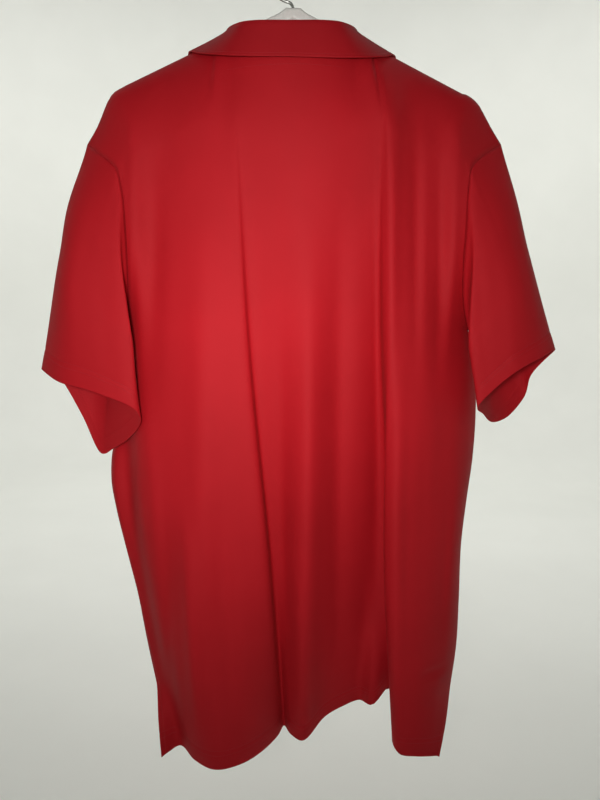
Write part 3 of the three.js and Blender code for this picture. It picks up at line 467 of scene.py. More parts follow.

# %% [markdown]
# ## Creases
# The solids hold the folds that change the outline. The softer ones are laid on here: each
# is a long low ridge or trough on the hanging cloth, fading out at both ends, and no two are alike.
# They run down the cloth because its weight pulls it straight. The hidden front has similar ones.

# %% Soft ridges and troughs, in millimetres
# x and z at the upper end, x and z at the lower end, height (a trough is below zero), half width
BACK_CREASES = [
    # the wearer's left side turns away, with a trough and a small ridge behind it near the hem
    (-203, -440, -199, -730, -15.0, 15), (-206, -560, -165, -910, -12.0, 13),
    (-170, -470, -142, -900, 3.5, 9),
    (-152, -590, -150, -940, -6.5, 9), (-124, -600, -119, -950, 8.0, 10),
    (-150, -200, -160, -520, -3.0, 12), (-168, -230, -174, -480, 1.6, 8),
    (-96, -280, -112, -860, 5.0, 17), (-84, -600, -72, -920, -3.5, 11),
    # the middle: a long ridge, and the hollow before the pleat
    (19, -280, 13, -950, 7.5, 13), (50, -260, 54, -900, -7.0, 12), (-14, -360, -10, -910, -4.0, 9),
    (-24, -190, -10, -420, -1.5, 16),
    # the pleat's rounded edge, and the loose cloth beyond it
    (106, -130, 110, -540, 4.5, 8), (116, -400, 124, -900, 4.5, 9),
    (127, -170, 135, -470, -3.2, 8), (141, -200, 147, -500, 2.2, 6),
    (155, -190, 161, -520, -2.6, 7), (171, -215, 176, -500, 2.2, 6),
    (182, -235, 192, -420, -2.2, 6), (176, -430, 170, -890, -6.0, 18),
    (146, -480, 150, -800, -1.5, 8), (188, -560, 180, -860, -3.5, 9),
    (150, -836, 192, -842, -4.0, 5),
]
FRONT_CREASES = [
    (-150, -200, -162, -520, -1.7, 10), (-120, -230, -134, -620, 1.6, 9),
    (-84, -300, -92, -760, -1.6, 12), (-60, -560, -66, -880, 1.4, 9),
    (-30, -420, -36, -820, -1.5, 10), (26, -440, 34, -860, 1.5, 11),
    (60, -260, 66, -620, -1.4, 12), (96, -220, 110, -560, 1.8, 9),
    (128, -220, 138, -640, -1.8, 10), (160, -260, 172, -560, 1.6, 8),
    (150, -620, 148, -880, 1.8, 9), (108, -620, 100, -890, -1.5, 10),
    (-168, -560, -160, -860, -1.8, 8),
]


def crease_height(creases, x, z):
    """How far the creases move the cloth outwards at each place, in millimetres."""
    total = np.zeros(np.shape(x))
    for x0, z0, x1, z1, height, half_width in creases:
        along = np.clip((z - z0) / (z1 - z0), 0, 1)
        if abs(z1 - z0) < abs(x1 - x0):
            along = np.clip((x - x0) / (x1 - x0), 0, 1)
            away = z - lerp(z0, z1, along)
        else:
            bow = math.sin(x0 * 0.7) * 3 * np.sin(along * math.pi)
            away = x - lerp(x0, x1, along) - bow
        fade = np.sin(along * math.pi) ** 1.3
        total += height * fade * np.exp(-(away / half_width) ** 2)
    return total


print(len(BACK_CREASES) + len(FRONT_CREASES), "creases on the body")

# %% [markdown]
# ### Hems
# A hem is the cloth's own edge turned up and sewn with twin needles, so it is two layers thick.
# Here it stands out a little below its stitches, and the cloth dips where the thread pulls it.

# %% The dressed surfaces
CLOTH = 1.0
HEM_WIDTH = 20.0
HEM_STEP = 0.5
STITCH_DIP = 0.35
HEM_PER_LEVEL = 262.0


def hem_profile(from_edge):
    """Outward step of a turned hem, by the distance from its free edge."""
    step = HEM_STEP * (1 - smooth(HEM_WIDTH - 1.5, HEM_WIDTH + 2.5, from_edge))
    dip = STITCH_DIP * np.exp(-((from_edge - HEM_WIDTH + 2) / 1.6) ** 2)
    dip += STITCH_DIP * np.exp(-((from_edge - HEM_WIDTH - 4) / 1.6) ** 2)
    return step - dip


def body_surface(panel, creases, u, level):
    u, level = np.atleast_1d(u), np.atleast_1d(level)
    p = panel.surface(u, level)
    edge_fade = smooth(0, 1.2, u) * smooth(0, 1.2, panel.last - u)
    top_fade = smooth(0.0, 0.12, level)[:, None]
    lift = crease_height(creases, p[..., 0], p[..., 2]) * edge_fade * top_fade
    lift += hem_profile((3 - level) * HEM_PER_LEVEL)[:, None]
    p[..., 1] += panel.side * lift
    return p


PLEAT_HOLLOW = 10.0


def back_at(u, level):
    """The back, with the cloth behind the pleat lying deeper."""
    p = body_surface(back, BACK_CREASES, u, level)
    across = smooth(back.line("middle fall", 0.8), back.line("underlay", 0.2), np.atleast_1d(u))
    across *= 1 - smooth(back.line("underlay", 0.8), back.line("right neck point", 0.6), np.atleast_1d(u))
    down = smooth(0.4, 1.3, np.atleast_1d(level)) * (1 - smooth(2.3, 2.9, np.atleast_1d(level)))
    p[..., 1] += PLEAT_HOLLOW * down[:, None] * across
    return p


front_at = lambda u, level: body_surface(front, FRONT_CREASES, u, level)


# %% [markdown]
# ### From a surface to a sheet
# Blender's grid is a flat sheet with even rows. Moving its vertices to the surface gives the cloth,
# with a UV map in metres along and across it, which the knit pattern then follows round the body.

# %% Making a sheet
def grid_sheet(name, points, wrap=False, keep=None, thickness=CLOTH):
    """A cloth sheet through rows of points in millimetres, with a UV map in metres."""
    rows, cols = points.shape[:2]
    bm = bmesh.new()
    bmesh.ops.create_grid(bm, x_segments=cols - 1, y_segments=rows - 1, size=1)
    mesh = bpy.data.meshes.new(name)
    bm.to_mesh(mesh)
    bm.free()
    flat = np.empty(len(mesh.vertices) * 3)
    mesh.vertices.foreach_get("co", flat)
    flat = flat.reshape(-1, 3)
    col = np.rint((flat[:, 0] + 1) / 2 * (cols - 1)).astype(int)
    row = np.rint((1 - flat[:, 1]) / 2 * (rows - 1)).astype(int)
    mesh.vertices.foreach_set("co", (points[row, col] * MM).ravel())
    across = np.linalg.norm(np.diff(points, axis=1), axis=2).mean(axis=0)
    along = np.linalg.norm(np.diff(points, axis=0), axis=2).mean(axis=1)
    place_u = np.concatenate([[0], np.cumsum(across)]) * MM
    place_v = np.concatenate([[0], np.cumsum(along)]) * MM
    corner = np.empty(len(mesh.loops), int)
    mesh.loops.foreach_get("vertex_index", corner)
    uv = mesh.uv_layers.new(name="cloth")
    uv.data.foreach_set("uv", np.stack([place_u[col[corner]], -place_v[row[corner]]], axis=1).ravel())
    if keep is not None or wrap:
        bm = bmesh.new()
        bm.from_mesh(mesh)
        bm.verts.ensure_lookup_table()
        if keep is not None:
            gone = [f for f in bm.faces if not keep(row[[v.index for v in f.verts]].min(),
                                                    col[[v.index for v in f.verts]].min())]
            bmesh.ops.delete(bm, geom=gone, context="FACES")
        bmesh.ops.remove_doubles(bm, verts=bm.verts, dist=0.01 * MM)
        bm.to_mesh(mesh)
        bm.free()
    mesh.polygons.foreach_set("use_smooth", [True] * len(mesh.polygons))
    piece = bpy.data.objects.new(name, mesh)
    bpy.context.scene.collection.objects.link(piece)
    wall = piece.modifiers.new("cloth wall", "SOLIDIFY")
    wall.thickness, wall.offset, wall.use_rim = thickness * MM, 0, True
    return piece


def flat_area(points):
    """Area of the cloth in square metres, from the two triangles of each cell."""
    a, b = points[1:, 1:] - points[:-1, :-1], points[1:, :-1] - points[:-1, 1:]
    return float(np.linalg.norm(np.cross(a, b), axis=2).sum() / 2) * MM * MM


def spaced_columns(surface, last, count, level=(1.0, 2.0)):
    """Places across, half by distance on the cloth and half by fold lines."""
    fine = np.linspace(0, last, 1200)
    rows = surface(fine, np.array(level))
    far = np.linalg.norm(np.diff(rows, axis=1), axis=2).mean(axis=0)
    density = far / far.sum() + 1 / len(far)
    total = np.concatenate([[0], np.cumsum(density)])
    return np.interp(np.linspace(0, total[-1], count), total, fine)


BODY_LEVELS = np.concatenate([np.linspace(0, 0.07, 12, endpoint=False),
                              np.linspace(0.07, 1, 78, endpoint=False),
                              np.linspace(1, 2.72, 96, endpoint=False),
                              np.linspace(2.72, 3, 40)])
BODY_COLUMNS = 141

# %% Back
back_u = spaced_columns(back.surface, back.last, BODY_COLUMNS)
back_points = back_at(back_u, BODY_LEVELS)
back_piece = grid_sheet("back_panel", back_points)
print("back cloth", round(flat_area(back_points), 3), "m2")

# %% Front, open down the placket
front_u = spaced_columns(front.surface, front.last, BODY_COLUMNS)
slit = front.line("left slit"), front.line("right slit")
for edge in (*slit, front.line("centre")):
    front_u[np.abs(front_u - edge).argmin()] = edge
front_levels = BODY_LEVELS.copy()
front_levels[np.abs(front_levels - SLIT_END).argmin()] = SLIT_END
front_points = front_at(front_u, front_levels)


def outside_slit(row, col):
    return not (front_levels[row] < SLIT_END - 0.001 and slit[0] - 0.001 < front_u[col] < slit[1] - 0.001)


front_piece = grid_sheet("front_panel", front_points, keep=outside_slit)
print("front cloth", round(flat_area(front_points), 3), "m2")

# %% [markdown]
# ### Sleeves
# Each sleeve hangs from its armhole and swings open at the hem. It has a few creases of its own:
# a soft one from the armpit, and shorter ones near the shoulder where the cloth turns down.

# %% Sleeves
# round the sleeve in turns, from and to along it, height in millimetres, half width in turns
SLEEVE_CREASES = {
    "left": [(0.16, 0.1, 0.9, 1.3, 0.03), (0.27, 0.2, 1.0, -1.2, 0.025), (0.40, 0.25, 0.95, 1.6, 0.02),
             (0.60, 0.2, 0.9, -1.6, 0.03), (0.72, 0.1, 0.95, 1.6, 0.03), (0.86, 0.1, 0.8, -1.2, 0.03)],
    "right": [(0.13, 0.1, 0.8, -1.2, 0.03), (0.22, 0.2, 1.0, 1.3, 0.03), (0.31, 0.1, 0.9, -1.3, 0.02),
              (0.57, 0.2, 0.95, 1.6, 0.03), (0.70, 0.15, 0.9, -1.6, 0.03), (0.84, 0.1, 0.9, 1.3, 0.03)],
}
SLEEVE_STATIONS = np.concatenate([np.linspace(0, 0.8, 52, endpoint=False), np.linspace(0.8, 1, 30)])
SLEEVE_TURNS = np.linspace(0, 1, 121)
SLEEVE_HEM_LENGTH = 250.0


def sleeve_at(which, stations, turn):
    cut = SLEEVE_LEFT if which == "left" else SLEEVE_RIGHT
    p = sleeve_surface(which, cut, stations, turn)
    centre = sleeve_surface(which, cut, stations, np.linspace(0, 1, 24, endpoint=False)).mean(axis=1)
    away = p - centre[:, None, :]
    away /= np.linalg.norm(away, axis=2, keepdims=True)
    t = np.asarray(stations, float)[:, None]
    lift = hem_profile((1 - t) * SLEEVE_HEM_LENGTH)
    for at, start, end, height, half_width in SLEEVE_CREASES[which]:
        beside = (turn[None, :] - at + 0.5) % 1 - 0.5
        fade = np.sin(np.clip((t - start) / (end + 0.15 - start), 0, 1) * math.pi)
        lift = lift + height * fade * np.exp(-(beside / half_width) ** 2)
    return p + away * (lift * smooth(0, 0.06, t))[..., None]


sleeves, sleeve_points = {}, {}
for which in ("left", "right"):
    sleeve_points[which] = sleeve_at(which, SLEEVE_STATIONS, SLEEVE_TURNS)
    sleeve_points[which][:, -1] = sleeve_points[which][:, 0]
    sleeves[which] = grid_sheet(f"sleeve_{which}_cloth", sleeve_points[which], wrap=True)
    print(which, "sleeve", round(flat_area(sleeve_points[which]), 3), "m2")

# %% [markdown]
# ### Collar
# The collar is a stand and a fall knitted in one, a little stiffer than the body. Its fall rolls
# over the top fold, so the fold is rounded, and its points spread on the chest.

# %% Collar
COLLAR_CLOTH = 1.3
COLLAR_END_TURN = 180 - math.degrees(math.asin(2.5 / NECK_HALF_WIDTH))
collar_turns = np.linspace(-COLLAR_END_TURN, COLLAR_END_TURN, 181)
collar_shares = np.concatenate([np.linspace(0, 0.42, 12, endpoint=False),
                                np.linspace(0.42, 0.54, 16, endpoint=False),
                                np.linspace(0.54, 1, 26)])
collar_points = collar_surface(collar_shares, collar_turns)
collar_piece = grid_sheet("collar_cloth", collar_points, thickness=COLLAR_CLOTH)
print("collar cloth", round(flat_area(collar_points), 3), "m2")

# %% [markdown]
# ### Placket
# Two bands close the front opening, one over and one under, each moved off the front's own surface.

# %% Placket bands
PLACKET_HALF_WIDTH = 16.0


def band_lines(count):
    """Places across the front from one edge of the band to the other."""
    left, right = front.line("left slit"), front.line("right slit")
    lap = (PLACKET_HALF_WIDTH - 12) / (front.tops[left] - front.tops[left - 1])
    return np.linspace(left - lap, right + lap, count)


def band_at(u, level, away):
    p = front_at(u, level)
    over_u = front_at(u + 0.01, level) - front_at(u - 0.01, level)
    over_l = front_at(u, level + 0.004) - front_at(u, np.maximum(0, level - 0.004))
    n = np.cross(over_l, over_u)
    n /= np.linalg.norm(n, axis=2, keepdims=True)
    n *= np.sign(n[..., 1:2])
    return p + n * away


band_levels = np.linspace(0.012, PLACKET_END, 84)
band_points = {}
bands = {}
for name, away in (("placket_upper", LAYER_STEP * 0.8), ("placket_under", -LAYER_STEP * 0.8)):
    band_points[name] = band_at(band_lines(15), band_levels, away)
    bands[name] = grid_sheet(name + "_band", band_points[name])
print("placket", round(float(np.ptp(band_points["placket_upper"][..., 2]))), "mm long")

# %% [markdown]
# ## Stitches
# Sewing thread lies on the cloth as a row of short beads, about 2.6 mm apart. One bead is made with
# a sphere operator and then copied along each seam line, so all the stitches of a seam are one mesh.

# %% Stitch rows
STITCH_PITCH, STITCH_LENGTH, STITCH_WIDTH = 2.6, 2.0, 0.42


def bead_template(length, width):
    bm = bmesh.new()
    bmesh.ops.create_uvsphere(bm, u_segments=6, v_segments=4, radius=0.5)
    bmesh.ops.rotate(bm, verts=bm.verts, cent=(0, 0, 0), matrix=Matrix.Rotation(math.pi / 2, 3, "Y"))
    bmesh.ops.scale(bm, verts=bm.verts, vec=(length, width, width * 0.8))
    shape = np.array([v.co for v in bm.verts])
    faces = [[v.index for v in f.verts] for f in bm.faces]
    bm.free()
    return shape, faces


def bead_mesh(name, places, forward, outward, length=STITCH_LENGTH, width=STITCH_WIDTH):
    """Copies one bead to each place; places and directions are arrays of vectors, in millimetres."""
    shape, faces = bead_template(length, width)
    forward = forward / np.linalg.norm(forward, axis=1, keepdims=True)
    side = np.cross(outward, forward)
    side /= np.linalg.norm(side, axis=1, keepdims=True)
    up = np.cross(forward, side)
    verts = (places[:, None, :] + shape[None, :, 0:1] * forward[:, None, :]
             + shape[None, :, 1:2] * side[:, None, :] + shape[None, :, 2:3] * up[:, None, :])
    verts = verts.reshape(-1, 3) * MM
    count = len(shape)
    all_faces = [[i + n * count for i in f] for n in range(len(places)) for f in faces]
    mesh = bpy.data.meshes.new(name)
    mesh.from_pydata(verts.tolist(), [], all_faces)
    mesh.polygons.foreach_set("use_smooth", [True] * len(mesh.polygons))
    piece = bpy.data.objects.new(name, mesh)
    bpy.context.scene.collection.objects.link(piece)
    return piece


def walk(line, pitch=STITCH_PITCH):
    """Places and directions at an even pitch along a line of points."""
    step = np.linalg.norm(np.diff(line, axis=0), axis=1)
    total = np.concatenate([[0], np.cumsum(step)])
    at = np.arange(pitch / 2, total[-1], pitch)
    place = np.stack([np.interp(at, total, line[:, i]) for i in range(3)], axis=1)
    ahead = np.stack([np.interp(at + 0.5, total, line[:, i]) for i in range(3)], axis=1)
    behind = np.stack([np.interp(at - 0.5, total, line[:, i]) for i in range(3)], axis=1)
    return place, ahead - behind, at / total[-1]


class Cloth:
    """A sheet's grid of points, to find the place and the outward side anywhere on it."""

    def __init__(self, points, levels, columns, centre):
        self.points, self.levels, self.columns = points, levels, columns
        normal = np.cross(np.gradient(points, axis=0), np.gradient(points, axis=1))
        normal /= np.linalg.norm(normal, axis=2, keepdims=True) + 1e-9
        outwards = points - centre if np.ndim(centre) == 1 else np.broadcast_to(centre, points.shape)
        self.normal = normal * np.sign((normal * outwards * [1, 1, 0]).sum(axis=2, keepdims=True))

    def at(self, grid, level, across):
        """Values of a grid at pairs of level and place across."""
        row = np.interp(level, self.levels, np.arange(len(self.levels)))
        col = np.interp(across, self.columns, np.arange(len(self.columns)))
        r, c = np.minimum(row.astype(int), grid.shape[0] - 2), np.minimum(col.astype(int), grid.shape[1] - 2)
        down, over = (row - r)[:, None], (col - c)[:, None]
        return ((grid[r, c] * (1 - over) + grid[r, c + 1] * over) * (1 - down)
                + (grid[r + 1, c] * (1 - over) + grid[r + 1, c + 1] * over) * down)

    def inset(self, level, from_last, far):
        """Place across that lies a distance inside the sheet's first or last column."""
        rows = np.stack([self.at(self.points, np.full(len(self.columns), l), self.columns) for l in level])
        if from_last:
            rows = rows[:, ::-1]
        step = np.linalg.norm(np.diff(rows, axis=1), axis=2)
        total = np.concatenate([np.zeros((len(level), 1)), np.cumsum(step, axis=1)], axis=1)
        columns = self.columns[::-1] if from_last else self.columns
        return np.array([np.interp(far, t, columns) for t in total])


def stitch_row(cloth, level, across, thickness=CLOTH, pitch=STITCH_PITCH):
    """Beads along a path of places on a sheet, on its outer side."""
    level, across = np.broadcast_arrays(np.asarray(level, float), np.asarray(across, float))
    place, forward, share = walk(cloth.at(cloth.points, level, across), pitch)
    along = np.linspace(0, 1, len(level))
    outward = cloth.at(cloth.normal, np.interp(share, along, level), np.interp(share, along, across))
    return place + outward * (thickness / 2 + 0.08), forward, outward


def sew(name, rows, **size):
    places, forward, outward = [np.concatenate([r[i] for r in rows]) for i in range(3)]
    piece = bead_mesh(name, places, forward, outward, **size)
    print(name, len(places), "stitches")
    return piece


TWIN_ROWS = (HEM_WIDTH - 2, HEM_WIDTH + 4)
VENT_INSET = 6


def hem_and_vent_rows(cloth, last):
    """Twin needle rows above the hem, one row beside each vent and a bar tack at its head."""
    across = np.linspace(0.08, last - 0.08, 260)
    rows = [stitch_row(cloth, 3 - inset / HEM_PER_LEVEL, across) for inset in TWIN_ROWS]
    levels = np.linspace(VENT_LEVEL - 0.02, 2.995, 30)
    for from_last in (False, True):
        beside = cloth.inset(levels, from_last, VENT_INSET)
        rows.append(stitch_row(cloth, levels, beside))
        tack = np.linspace(last - 0.05 if from_last else 0.05, beside[0], 8)
        rows.append(stitch_row(cloth, VENT_LEVEL - 0.03, tack, pitch=1.2))
    return rows


# %% Hems and vents
TO_BACK, TO_FRONT = np.array([[[0.0, -1.0, 0.0]]]), np.array([[[0.0, 1.0, 0.0]]])
back_cloth = Cloth(back_points, BODY_LEVELS, back_u, TO_BACK)
front_cloth = Cloth(front_points, front_levels, front_u, TO_FRONT)
stitches = {
    "hem_stitches_back": sew("hem_stitches_back", hem_and_vent_rows(back_cloth, back.last)),
    "hem_stitches_front": sew("hem_stitches_front", hem_and_vent_rows(front_cloth, front.last)),
}
for which, points in sleeve_points.items():
    cloth = Cloth(points, SLEEVE_STATIONS, SLEEVE_TURNS, points[-1, :-1].mean(axis=0))
    name = f"hem_stitches_sleeve_{which}"
    stitches[name] = sew(name, [stitch_row(cloth, 1 - inset / SLEEVE_HEM_LENGTH,
                                           np.linspace(0.001, 0.999, 160)) for inset in TWIN_ROWS])

# %% [markdown]
# The fall of the collar has one row near its edge, and the back neck has one just below it, where
# the tape inside is sewn down. The placket is sewn along both edges and boxed at its foot.

# %% Collar, neck and placket
collar_cloth = Cloth(collar_points, collar_shares, collar_turns, np.zeros(3))
collar_end = COLLAR_END_TURN - 3
collar_path = [(0.955, np.linspace(-collar_end, collar_end, 260))]
collar_path += [(np.linspace(0.60, 0.955, 30), side * collar_end) for side in (-1, 1)]
stitches["collar_stitches"] = sew("collar_stitches", [
    stitch_row(collar_cloth, share, turn, thickness=COLLAR_CLOTH) for share, turn in collar_path])

NECK_TAPE_Z = -153.5
neck_u = np.linspace(back.line("lobe fall"), back.line("middle fall", 0.8), 60)
neck_levels = np.linspace(0, 0.6, 160)
neck_heights = np.stack([back_cloth.at(back_points, np.full(60, l), neck_u)[:, 2] for l in neck_levels])
neck_level = [np.interp(-NECK_TAPE_Z, -neck_heights[:, i], neck_levels) for i in range(60)]
stitches["neck_stitches"] = sew("neck_stitches", [stitch_row(back_cloth, neck_level, neck_u)])

band_cloth = Cloth(band_points["placket_upper"], band_levels, band_lines(15), TO_FRONT)
band_left, band_right = band_lines(15)[[1, -2]]
foot, head = PLACKET_END - 0.008, PLACKET_END - 0.075
stitches["placket_stitches"] = sew("placket_stitches", [
    stitch_row(band_cloth, level, across) for level, across in (
        (np.linspace(0.02, foot, 90), band_left), (np.linspace(0.02, foot, 90), band_right),
        (foot, np.linspace(band_left, band_right, 14)), (head, np.linspace(band_left, band_right, 14)),
        (np.linspace(foot, head, 14), np.linspace(band_left, band_right, 14)),
        (np.linspace(foot, head, 14), np.linspace(band_right, band_left, 14)))])

# %% [markdown]
# ## Buttons
# A shirt button is a small resin disc with a rim and four holes, sewn on with two bars of thread.
# A turned profile gives the disc, and cutting four rods out of it gives true holes.

# %% Buttons
BUTTON_LEVELS = [0.06, 0.3, 0.54]
BUTTON_R, BUTTON_H, HOLE_R, HOLE_PLACE = 5.6, 2.6, 0.85, 1.55


def button_mesh(name):
    bm = bmesh.new()
    r, h = BUTTON_R, BUTTON_H
    outline = [(0, 0), (r - 1.2, 0), (r - 0.3, 0.35), (r, 1.0), (r, 1.6), (r - 0.35, h - 0.2), (r - 0.9, h),
               (r - 1.5, h - 0.1), (r - 2.3, h - 0.8), (0, h - 0.8)]
    verts = [bm.verts.new((x, 0, z)) for x, z in outline]
    edges = [bm.edges.new(pair) for pair in zip(verts, verts[1:])]
    bmesh.ops.spin(bm, geom=verts + edges, cent=(0, 0, 0), axis=(0, 0, 1), angle=2 * math.pi,
                   steps=36, use_merge=True, dvec=(0, 0, 0))
    bmesh.ops.remove_doubles(bm, verts=bm.verts, dist=1e-4)
    bmesh.ops.recalc_face_normals(bm, faces=bm.faces)
    mesh = bpy.data.meshes.new(name)
    bm.to_mesh(mesh)
    bm.free()
    disc = bpy.data.objects.new(name, mesh)
    bpy.context.scene.collection.objects.link(disc)
    rods = bmesh.new()
    for sx in (-1, 1):
        for sy in (-1, 1):
            bmesh.ops.create_cone(rods, cap_ends=True, segments=14, radius1=HOLE_R, radius2=HOLE_R,
                                  depth=10, matrix=Matrix.Translation((sx * HOLE_PLACE, sy * HOLE_PLACE, 1)))
    rod_mesh = bpy.data.meshes.new("rods")
    rods.to_mesh(rod_mesh)
    rods.free()
    rod = bpy.data.objects.new("rods", rod_mesh)
    bpy.context.scene.collection.objects.link(rod)
    cut = disc.modifiers.new("holes", "BOOLEAN")
    cut.operation, cut.object, cut.solver = "DIFFERENCE", rod, "EXACT"
    bpy.context.view_layer.update()
    cut_mesh = bpy.data.meshes.new_from_object(disc.evaluated_get(bpy.context.evaluated_depsgraph_get()))
    disc.modifiers.clear()
    disc.data = cut_mesh
    bpy.data.objects.remove(rod)
    return disc


buttons = []
button_frames = []
for i, level in enumerate(BUTTON_LEVELS):
    centre_line = front.line("centre")
    here, below = front.surface([centre_line], [level])[0, 0], front.surface([centre_line], [level + 0.03])[0, 0]
    left_p, right_p = front.surface([centre_line - 0.5, centre_line + 0.5], [level])[0]
    down = Vector(below - here).normalized()
    across = Vector(right_p - left_p).normalized()
    out = across.cross(down)
    out = (out if out.y > 0 else -out).normalized()
    across = down.cross(out)
    base = Vector(here) + out * (LAYER_STEP + SOLID_CLOTH / 2 + 0.32)
    button = button_mesh(f"button_{i + 1}_resin")
    turn = Matrix((across, -down, out)).transposed().to_4x4()
    place = Matrix.Translation(base * MM) @ turn @ Matrix.Scale(MM, 4)
    button.data.transform(place)
    for face in button.data.polygons:
        face.use_smooth = True
    buttons.append(button)
    button_frames.append((np.array(base), np.array(across), np.array(-down), np.array(out)))
print(len(buttons), "buttons")

# %% Thread through the holes, and the buttonholes
thread_rows, hole_rows = [], []
for base, across, up, out in button_frames:
    bars = np.array([base + out * (BUTTON_H - 0.62) + across * s * HOLE_PLACE + up * w
                     for s in (-1, 1) for w in (-0.75, 0.0, 0.75)])
    thread_rows.append((bars, np.tile(up, (6, 1)), np.tile(out, (6, 1))))
    angle = np.linspace(0, 2 * math.pi, 44, endpoint=False)
    half_length, half_width = 7.6, 1.3
    rim = (base - out * 0.95 + np.outer(np.sign(np.cos(angle)) * np.abs(np.cos(angle)) ** 0.7, up) * half_length
           + np.outer(np.sin(angle), across) * half_width)
    spoke = np.outer(np.cos(angle) * 0.35, up) + np.outer(np.sin(angle), across) + 1e-6
    hole_rows.append((rim, spoke, np.tile(out, (44, 1))))
stitches["button_thread"] = sew("button_thread", thread_rows, length=3.4, width=0.7)
stitches["buttonhole_stitches"] = sew("buttonhole_stitches", hole_rows, length=1.7, width=0.5)

# %% [markdown]
# ## Finishes
# All materials are made from nodes. Colours are given as they look on a screen and turned to linear
# light by one function, and another adds a node with its settings and links.

# %% Colour and node helpers
def linear(hex_colour):
    channels = [int(hex_colour[i:i + 2], 16) / 255 for i in (1, 3, 5)]
    return tuple(c / 12.92 if c <= 0.04045 else ((c + 0.055) / 1.055) ** 2.4 for c in channels) + (1,)


def add_node(tree, kind, links=None, **settings):
    """A node with its settings; a key that names an input socket sets or links that socket."""
    node = tree.nodes.new(kind)
    for key, value in settings.items():
        setattr(node, key, value)
    for socket, value in (links or {}).items():
        if isinstance(value, bpy.types.NodeSocket):
            tree.links.new(value, node.inputs[socket])
        else:
            node.inputs[socket].default_value = value
    return node


def new_material(name):
    material = bpy.data.materials.new(name)
    material.use_nodes = True
    tree = material.node_tree
    tree.nodes.clear()
    shader = add_node(tree, "ShaderNodeBsdfPrincipled")
    output = add_node(tree, "ShaderNodeOutputMaterial", {"Surface": shader.outputs[0]})
    return material, tree, shader


# %% [markdown]
# ### Knitted polyester
# The cloth is a fine polyester jersey: columns of small loops about 1 mm apart, matt, with the soft
# bloom of many fine fibres at a grazing view. The loops are drawn at 1.3 mm, a little coarser than
# real, so that they show at all. The dye is even, with only faint clouds where the cloth was rubbed.

# %% Knit
WALE_MM, COURSE_MM = 1.3, 1.0


def knit_material(name, deep, lit, loop_depth, wale=WALE_MM, course=COURSE_MM, rib=False):
    material, tree, shader = new_material(name)
    place = add_node(tree, "ShaderNodeTexCoord").outputs["UV"]
    split = add_node(tree, "ShaderNodeSeparateXYZ", {"Vector": place})
    wave = []
    for axis, size in (("X", wale), ("Y", course)):
        turns = add_node(tree, "ShaderNodeMath", {0: split.outputs[axis], 1: 2 * math.pi / (size * MM)},
                         operation="MULTIPLY")
        wave.append(add_node(tree, "ShaderNodeMath", {0: turns.outputs[0]}, operation="SINE").outputs[0])
    loops = add_node(tree, "ShaderNodeMath", {0: wave[0], 1: wave[0] if rib else wave[1]},
                     operation="MULTIPLY")
    fibre = add_node(tree, "ShaderNodeTexNoise", {"Vector": place, "Scale": 900.0, "Detail": 3.0,
                                                  "Roughness": 0.6})
    height = add_node(tree, "ShaderNodeMath", {0: loops.outputs[0], 1: 0.6, 2: fibre.outputs[0]},
                      operation="MULTIPLY_ADD")
    bump = add_node(tree, "ShaderNodeBump", {"Height": height.outputs[0], "Strength": 0.55,
                                             "Distance": loop_depth * MM})
    clouds = add_node(tree, "ShaderNodeTexNoise", {"Vector": place, "Scale": 9.0, "Detail": 4.0,
                                                   "Roughness": 0.55})
    shade = add_node(tree, "ShaderNodeMath", {0: loops.outputs[0], 1: 0.10, 2: clouds.outputs[0]},
                     operation="MULTIPLY_ADD")
    ramp = add_node(tree, "ShaderNodeValToRGB", {"Fac": shade.outputs[0]})
    ramp.color_ramp.elements[0].position, ramp.color_ramp.elements[1].position = 0.25, 0.75
    ramp.color_ramp.elements[0].color, ramp.color_ramp.elements[1].color = linear(deep), linear(lit)
    tree.links.new(ramp.outputs["Color"], shader.inputs["Base Color"])
    tree.links.new(bump.outputs["Normal"], shader.inputs["Normal"])
    shader.inputs["Roughness"].default_value = 0.72
    shader.inputs["IOR"].default_value = 1.5
    shader.inputs["Specular IOR Level"].default_value = 0.25
    shader.inputs["Sheen Weight"].default_value = 0.03
    shader.inputs["Sheen Roughness"].default_value = 0.45
    shader.inputs["Sheen Tint"].default_value = linear("#ff6a6a")
    return material


jersey = knit_material("polyester_jersey_knit", "#AC0C18", "#B60F1C", 0.10)
rib_knit = knit_material("polyester_flat_knit_collar", "#A00A16", "#AA0D19", 0.14, wale=1.6, rib=True)

# %% [markdown]
# ### Thread, resin, moulded plastic and wire
# The thread is dyed to match and a little glossier than the cloth. The buttons are cast resin, the
# hanger is moulded polystyrene with a faint orange-peel skin, and the hook is drawn plated wire.

# %% Other materials
def plain_material(name, dark, light, roughness, grain, bump_depth, metallic=0.0, ior=1.5, stretch=(1, 1, 1)):
    material, tree, shader = new_material(name)
    place = add_node(tree, "ShaderNodeTexCoord").outputs["Object"]
    moved = add_node(tree, "ShaderNodeMapping", {"Vector": place, "Scale": stretch})
    noise = add_node(tree, "ShaderNodeTexNoise", {"Vector": moved.outputs[0], "Scale": 1000.0 / grain,
                                                  "Detail": 3.0, "Roughness": 0.5})
    ramp = add_node(tree, "ShaderNodeValToRGB", {"Fac": noise.outputs[0]})
    ramp.color_ramp.elements[0].position, ramp.color_ramp.elements[1].position = 0.3, 0.7
    ramp.color_ramp.elements[0].color, ramp.color_ramp.elements[1].color = linear(dark), linear(light)
    spread = add_node(tree, "ShaderNodeMapRange", {"Value": noise.outputs[0], "To Min": roughness - 0.06,
                                                   "To Max": roughness + 0.06})
    bump = add_node(tree, "ShaderNodeBump", {"Height": noise.outputs[0], "Strength": 0.4,
                                             "Distance": bump_depth * MM})
    tree.links.new(ramp.outputs["Color"], shader.inputs["Base Color"])
    tree.links.new(spread.outputs["Result"], shader.inputs["Roughness"])
    tree.links.new(bump.outputs["Normal"], shader.inputs["Normal"])
    shader.inputs["Metallic"].default_value = metallic
    if not metallic:
        shader.inputs["IOR"].default_value = ior
    return material


